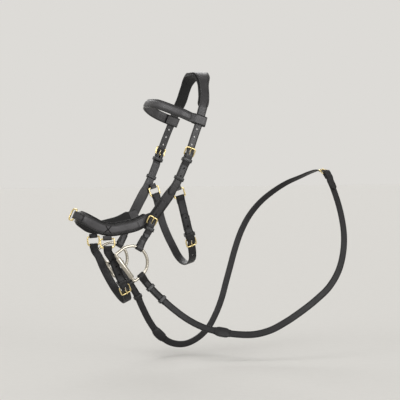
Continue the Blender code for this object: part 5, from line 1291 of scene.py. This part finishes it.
def leather(name, hexes, roughness, ior, grain, crease_mm, stitch_mm, thread_mm, edge_mm):
    """Tanned cattle hide, dyed through, with its grain, a crease line, edge dye, stitches and light wear,
    and painted shade in the crease, in the seam's groove and along the edge.

    hexes are the body's, the worn body's and the edge's colours; in padded band leather the first two also
    hold a painted sheen, and the edge's colour is edge dye with painted shade. grain is its width in mm and
    its height in metres. crease_mm and stitch_mm are the distances from the edge of the pressed line and of
    the seam, thread_mm is half the seam's drawn width, and edge_mm is how far in the dark edge reaches:
    burnished edge dye with painted shade. A line is 1 at its distance from the edge and eases to 0 half its
    width away.
    """
    tree, spot = start_material(name)
    maps = [node(tree, "ShaderNodeUVMap", uv_map=key) for key in ("Place", "Edge", "Sewn")]
    place, edge, sewn = (node(tree, "ShaderNodeSeparateXYZ", {"Vector": uv}).outputs for uv in maps)
    # Grain: cells a grain width across, with folds a few grains wide between them
    cells = node(tree, "ShaderNodeTexVoronoi", {"Vector": spot, "Scale": 1000.0 / grain[0]},
                 feature="DISTANCE_TO_EDGE")
    # Wear: pale rubs in patches 11 mm long and 2.4 mm wide, most of them near the edges
    rub = node(tree, "ShaderNodeVectorMath", {0: maps[0], 1: (420.0, 90.0, 0.0)}, operation="MULTIPLY")
    folds, cloud, rub = (
        node(tree, "ShaderNodeTexNoise", {"Vector": at, "Scale": scale, "Detail": detail,
                                          "Roughness": rough})
        for at, scale, detail, rough in ((spot, 190.0, 4.0, 0.6), (spot, 34.0, 3.0, 0.55),
                                         (rub, 1.0, 5.0, 0.7)))
    by_edge = node(tree, "ShaderNodeMapRange", {"Value": edge["X"], "From Min": 0.0006, "From Max": 0.0035,
                                                "To Min": 1.0, "To Max": 0.25})
    # How far a place is from the crease and from the seam, and from the middle of a stitch along it.
    # Stitches are 3.4 mm apart and 1 mm wide. They are drawn at the stitch pitch and wider, so that
    # the render shows them.
    away = {"crease": (edge["X"], ("SUBTRACT", crease_mm / 1000.0), ("ABSOLUTE", 0.0)),
            "seam": (edge["X"], ("SUBTRACT", stitch_mm / 1000.0), ("ABSOLUTE", 0.0)),
            "stitch": (place["Y"], ("DIVIDE", STITCH_PITCH), ("FRACT", 0.0), ("SUBTRACT", 0.5),
                       ("ABSOLUTE", 0.0))}
    for key, (value, *steps) in away.items():
        for operation, number in steps:
            value = node(tree, "ShaderNodeMath", {0: value, 1: number}, operation=operation)
        away[key] = value
    # Eased shares: what each is read from, and where it is 0 and 1. outer is the grain side, against
    # the cut edge and the flesh side, and groove is what the stitches lie in.
    eased = {}
    for key, value, none, full in (
            ("outer", edge["Y"], 0.86, 0.97), ("pores", cells, 0.0, 0.25), ("rub", rub, 0.55, 0.76),
            ("crease", away["crease"], 0.00080, 0.0), ("groove", away["seam"], 0.00125, 0.0),
            ("thread", away["seam"], thread_mm / 1000.0, 0.0), ("stitch", away["stitch"], 0.40, 0.30),
            ("burnished_and_shaded_edge", edge["X"], edge_mm / 1000.0, 0.3 * edge_mm / 1000.0)):
        eased[key] = node(tree, "ShaderNodeMapRange", {"Value": value, "From Min": none, "From Max": full},
                          interpolation_type="SMOOTHSTEP")
    for key, *factors in (("rub", by_edge, eased["outer"]), ("crease", eased["outer"]),
                          ("groove", eased["outer"], sewn["X"]),
                          ("stitch", eased["thread"], eased["outer"], sewn["X"])):
        for factor in factors:
            eased[key] = node(tree, "ShaderNodeMath", {0: eased[key], 1: factor}, operation="MULTIPLY")
    # Colour, from the body out: cloudy dye, rubs, painted shade in the crease and in the groove, the
    # burnished edge's dye with painted shade, thread
    body, worn, dark = hexes
    tone = node(tree, "ShaderNodeMapRange", {"Value": cloud, "From Min": 0.30, "From Max": 0.72})
    tone = node(tree, "ShaderNodeMix", {"Factor": tone, 6: colour(body), 7: colour(worn)}, data_type="RGBA")
    # The crease and the groove are darkened with painted shade, and the edge band is its dye with painted
    # shade
    for key, strength, over in (("rub", 0.55, "#5a5856"), ("crease", 0.80, dark), ("groove", 0.60, dark),
                                ("burnished_and_shaded_edge", 1.0, dark), ("stitch", 1.0, "#0c0b0c")):
        share = node(tree, "ShaderNodeMath", {0: eased[key], 1: strength}, operation="MULTIPLY")
        tone = node(tree, "ShaderNodeMix", {"Factor": share, 6: tone, 7: colour(over)}, data_type="RGBA")
    gloss = node(tree, "ShaderNodeMapRange", {"Value": folds, "From Min": 0.25, "From Max": 0.75,
                                              "To Min": roughness - 0.07, "To Max": roughness + 0.08})
    for key, change in (("rub", 0.14), ("burnished_and_shaded_edge", -0.08), ("stitch", 0.25)):
        gloss = node(tree, "ShaderNodeMath", {0: eased[key], 1: change, 2: gloss}, operation="MULTIPLY_ADD")
    height = 0.0
    for share, rise in ((eased["pores"], 0.30), (folds, 0.85), (eased["crease"], -1.6),
                        (eased["groove"], -1.1), (eased["stitch"], 1.9)):
        height = node(tree, "ShaderNodeMath", {0: share, 1: rise, 2: height}, operation="MULTIPLY_ADD")
    bump = node(tree, "ShaderNodeBump", {"Strength": 1.0, "Distance": grain[1], "Height": height})
    finish_material(tree, {"Base Color": tone, "Roughness": gloss, "Normal": bump, "IOR": ior})


def polished(name, hexes, film, gloss, marks, bump):
    """Polished metal: a thin film in clouds over it, and fine wheel marks.

    film is the clouds' scale, detail and roughness, gloss the lowest and highest roughness, marks
    their scale and detail, and bump their strength and height.
    """
    tree, spot = start_material(name)
    cloud = node(tree, "ShaderNodeTexNoise", {"Vector": spot, "Scale": film[0], "Detail": film[1],
                                              "Roughness": film[2]})
    tone = node(tree, "ShaderNodeMix", {"Factor": cloud, 6: colour(hexes[0]), 7: colour(hexes[1])},
                data_type="RGBA")
    rough = node(tree, "ShaderNodeMapRange", {"Value": cloud, "From Min": 0.3, "From Max": 0.7,
                                              "To Min": gloss[0], "To Max": gloss[1]})
    wheel = node(tree, "ShaderNodeTexNoise", {"Vector": spot, "Scale": marks[0], "Detail": marks[1]})
    normal = node(tree, "ShaderNodeBump", {"Strength": bump[0], "Distance": bump[1], "Height": wheel})
    finish_material(tree, {"Base Color": tone, "Roughness": rough, "Normal": normal, "Metallic": 1.0})


def make_materials():
    """Every finish of the bridle."""
    # Bridle leather: vegetable-tanned butt, dyed black and waxed. It keeps a satin sheen, its cut edges are
    # dyed and rubbed smooth, and a hot iron has pressed a line along each edge. The dark band along each
    # edge is that dye with painted shade, and the pressed line and the seam's groove are darkened with
    # painted shade. Its grain is 0.5 mm wide and is drawn at 2.6 mm, so that the render shows it.
    leather("bridle_leather", ("#232224", "#343335", "#080809"), 0.36, 1.48, (2.6, 0.00036),
            2.1, 3.4, 0.8, 1.6)
    # Padded band leather: the same hide, thinner and stretched over a raised core, which opens the grain.
    # Its pale grey body colours are a painted sheen over the raised middle. Its dark edge colour reaches
    # 4.4 mm in, so the flat margins round the core stay black with painted shade.
    leather("painted_sheen_band_leather", ("#363537", "#4d4c4e", "#080809"), 0.37, 1.50, (2.8, 0.00040),
            1.4, 3.9, 1.3, 4.4)
    # Rein leather: the same hide with less wax, handled daily, on the reins and the chin and jaw
    # straps. It is blacker and drier, so its sheen is weaker.
    leather("rein_leather", ("#111012", "#1c1b1d", "#070708"), 0.44, 1.40, (2.6, 0.00042),
            1.9, 2.8, 0.8, 1.6)
    # Lining: chrome-tanned soft leather, dyed black and tumbled, matt with a pebbled grain. Its
    # pebbles are 1 mm wide and are drawn at 3.2 mm.
    leather("soft_lining", ("#0c0c0d", "#131314", "#09090a"), 0.56, 1.42, (3.2, 0.00060),
            1.3, 2.0, 0.6, 0.9)
    # Waxed linen thread, dyed black: twisted, so it is matt with slanting ridges 1.2 mm apart.
    tree, spot = start_material("waxed_thread")
    twist = node(tree, "ShaderNodeTexWave", {"Vector": spot, "Scale": 130.0, "Distortion": 1.5},
                 bands_direction="DIAGONAL").outputs["Fac"]
    tone = node(tree, "ShaderNodeMix", {"Factor": twist, 6: colour("#040404"), 7: colour("#0d0c0c")},
                data_type="RGBA")
    bump = node(tree, "ShaderNodeBump", {"Strength": 0.6, "Distance": 0.0002, "Height": twist})
    finish_material(tree, {"Base Color": tone, "Normal": bump, "Roughness": 0.70, "IOR": 1.30})
    # Brass: cast and polished on a wheel. Fine wheel marks and a slight brown film soften its gloss.
    polished("polished_brass", ("#f2e2ae", "#dcc27e"), (240.0, 4.0, 0.6), (0.17, 0.30), (900.0, 2.0),
             (0.25, 0.00004))
    # Stainless steel: forged, ground and mirror polished, worn a little duller in use.
    polished("polished_steel", ("#c9c4b8", "#a39c90"), (150.0, 5.0, 0.65), (0.13, 0.28), (700.0, 3.0),
             (0.2, 0.00003))


# Camera, floor and light

AZIMUTH = math.radians(68.0)
ELEVATION = math.radians(2.0)
LENS_MM = 150.0
SENSOR_MM = 36.0
DISTANCE = 3.9
CROWN_OFF_CENTRE = (-3.0 / 400, 123.0 / 400)
FLOOR_Z = -0.660
FLOOR_HALF = 14.0


def add_camera():
    """A long lens level with the bridle, placed so that the origin shows off the picture's centre."""
    back = np.array((math.sin(AZIMUTH) * math.cos(ELEVATION), -math.cos(AZIMUTH) * math.cos(ELEVATION),
                     math.sin(ELEVATION)))
    right = np.array((math.cos(AZIMUTH), math.sin(AZIMUTH), 0.0))
    up = np.cross(back, right)
    reach = DISTANCE * SENSOR_MM / LENS_MM
    place = back * DISTANCE - (right * CROWN_OFF_CENTRE[0] + up * CROWN_OFF_CENTRE[1]) * reach
    data = bpy.data.cameras.new("camera")
    data.lens = LENS_MM
    data.sensor_width = SENSOR_MM
    camera = into_scene("camera", data)
    turn = np.eye(4)
    turn[:3] = np.stack((right, up, back, place), axis=1)
    camera.matrix_world = Matrix(turn.tolist())
    bpy.context.scene.camera = camera


def add_floor():
    """A wide plain floor under the bridle."""
    mesh = bpy.data.meshes.new("floor")
    corners = [(x * FLOOR_HALF, y * FLOOR_HALF, FLOOR_Z) for x, y in ((-1, -1), (1, -1), (1, 1), (-1, 1))]
    mesh.from_pydata(corners, [], [(0, 1, 2, 3)])
    # Matt studio paper: pale and even
    tree, spot = start_material("studio_paper")
    fleck = node(tree, "ShaderNodeTexNoise", {"Vector": spot, "Scale": 60.0, "Detail": 2.0})
    tone = node(tree, "ShaderNodeMix", {"Factor": fleck, 6: colour("#dcdad6"), 7: colour("#e0deda")},
                data_type="RGBA")
    finish_material(tree, {"Base Color": tone, "Roughness": 0.9})
    mesh.materials.append(MATERIALS["studio_paper"])
    into_scene("floor", mesh)


def add_light(name, place, strength, spread):
    """A soft lamp far off: even light from its place towards the origin, over a spread of degrees."""
    data = bpy.data.lights.new(name, "SUN")
    data.energy = strength
    data.angle = math.radians(spread)
    lamp = into_scene(name, data)
    lamp.location = place
    lamp.rotation_euler = Vector(place).to_track_quat("Z", "Y").to_euler()


def add_light_and_view():
    """Even light all round, a key lamp above the near side and two weaker lamps."""
    add_light("key", (2.6, 0.8, 0.45), 1.45, 34.0)
    add_light("front", (1.2, -2.6, 2.6), 1.10, 30.0)
    add_light("rim", (-2.4, 0.6, 1.6), 0.80, 34.0)
    world = bpy.data.worlds.new("studio")
    world.use_nodes = True
    tree = world.node_tree
    tree.nodes.clear()
    path = node(tree, "ShaderNodeLightPath").outputs
    seen = path["Is Camera Ray"]
    for ray in ("Is Glossy Ray", "Is Transmission Ray"):
        seen = node(tree, "ShaderNodeMath", {0: seen, 1: path[ray]}, operation="MAXIMUM")
    ambient = node(tree, "ShaderNodeBackground", {"Color": colour("#f2f1ee"), "Strength": 0.50})
    backdrop = node(tree, "ShaderNodeBackground", {"Color": colour("#dddbd7"), "Strength": 1.0})
    sky = node(tree, "ShaderNodeMixShader", {0: seen, 1: ambient, 2: backdrop})
    node(tree, "ShaderNodeOutputWorld", {"Surface": sky})
    bpy.context.scene.world = world
    bpy.context.scene.view_settings.view_transform = "Standard"


def main():
    """Dress the whole bridle."""
    make_materials()
    add_camera()
    make_reins()
    crown, brow, nose = head_routes()
    fastenings = make_headpiece(crown)
    make_cheekpieces(crown, fastenings)
    make_browband(brow)
    make_noseband(nose)
    side_ring = make_side_rings(nose)
    make_nose_ring(nose)
    jaw_ring = make_jaw_rings(crown)
    make_two_straps("chin", two_strap_route(side_ring, CHIN_SHARES), CHIN_STRAP_WIDTH,
                    CHIN_HEEL_AT, CHIN_TIP_AT)
    make_two_straps("jaw", two_strap_route(jaw_ring, JAW_SHARES), JAW_STRAP_WIDTH,
                    JAW_HEEL_AT, JAW_TIP_AT)
    make_bit_straps(crown)
    make_cheeks()
    make_mouthpiece()
    add_floor()
    add_light_and_view()


main()
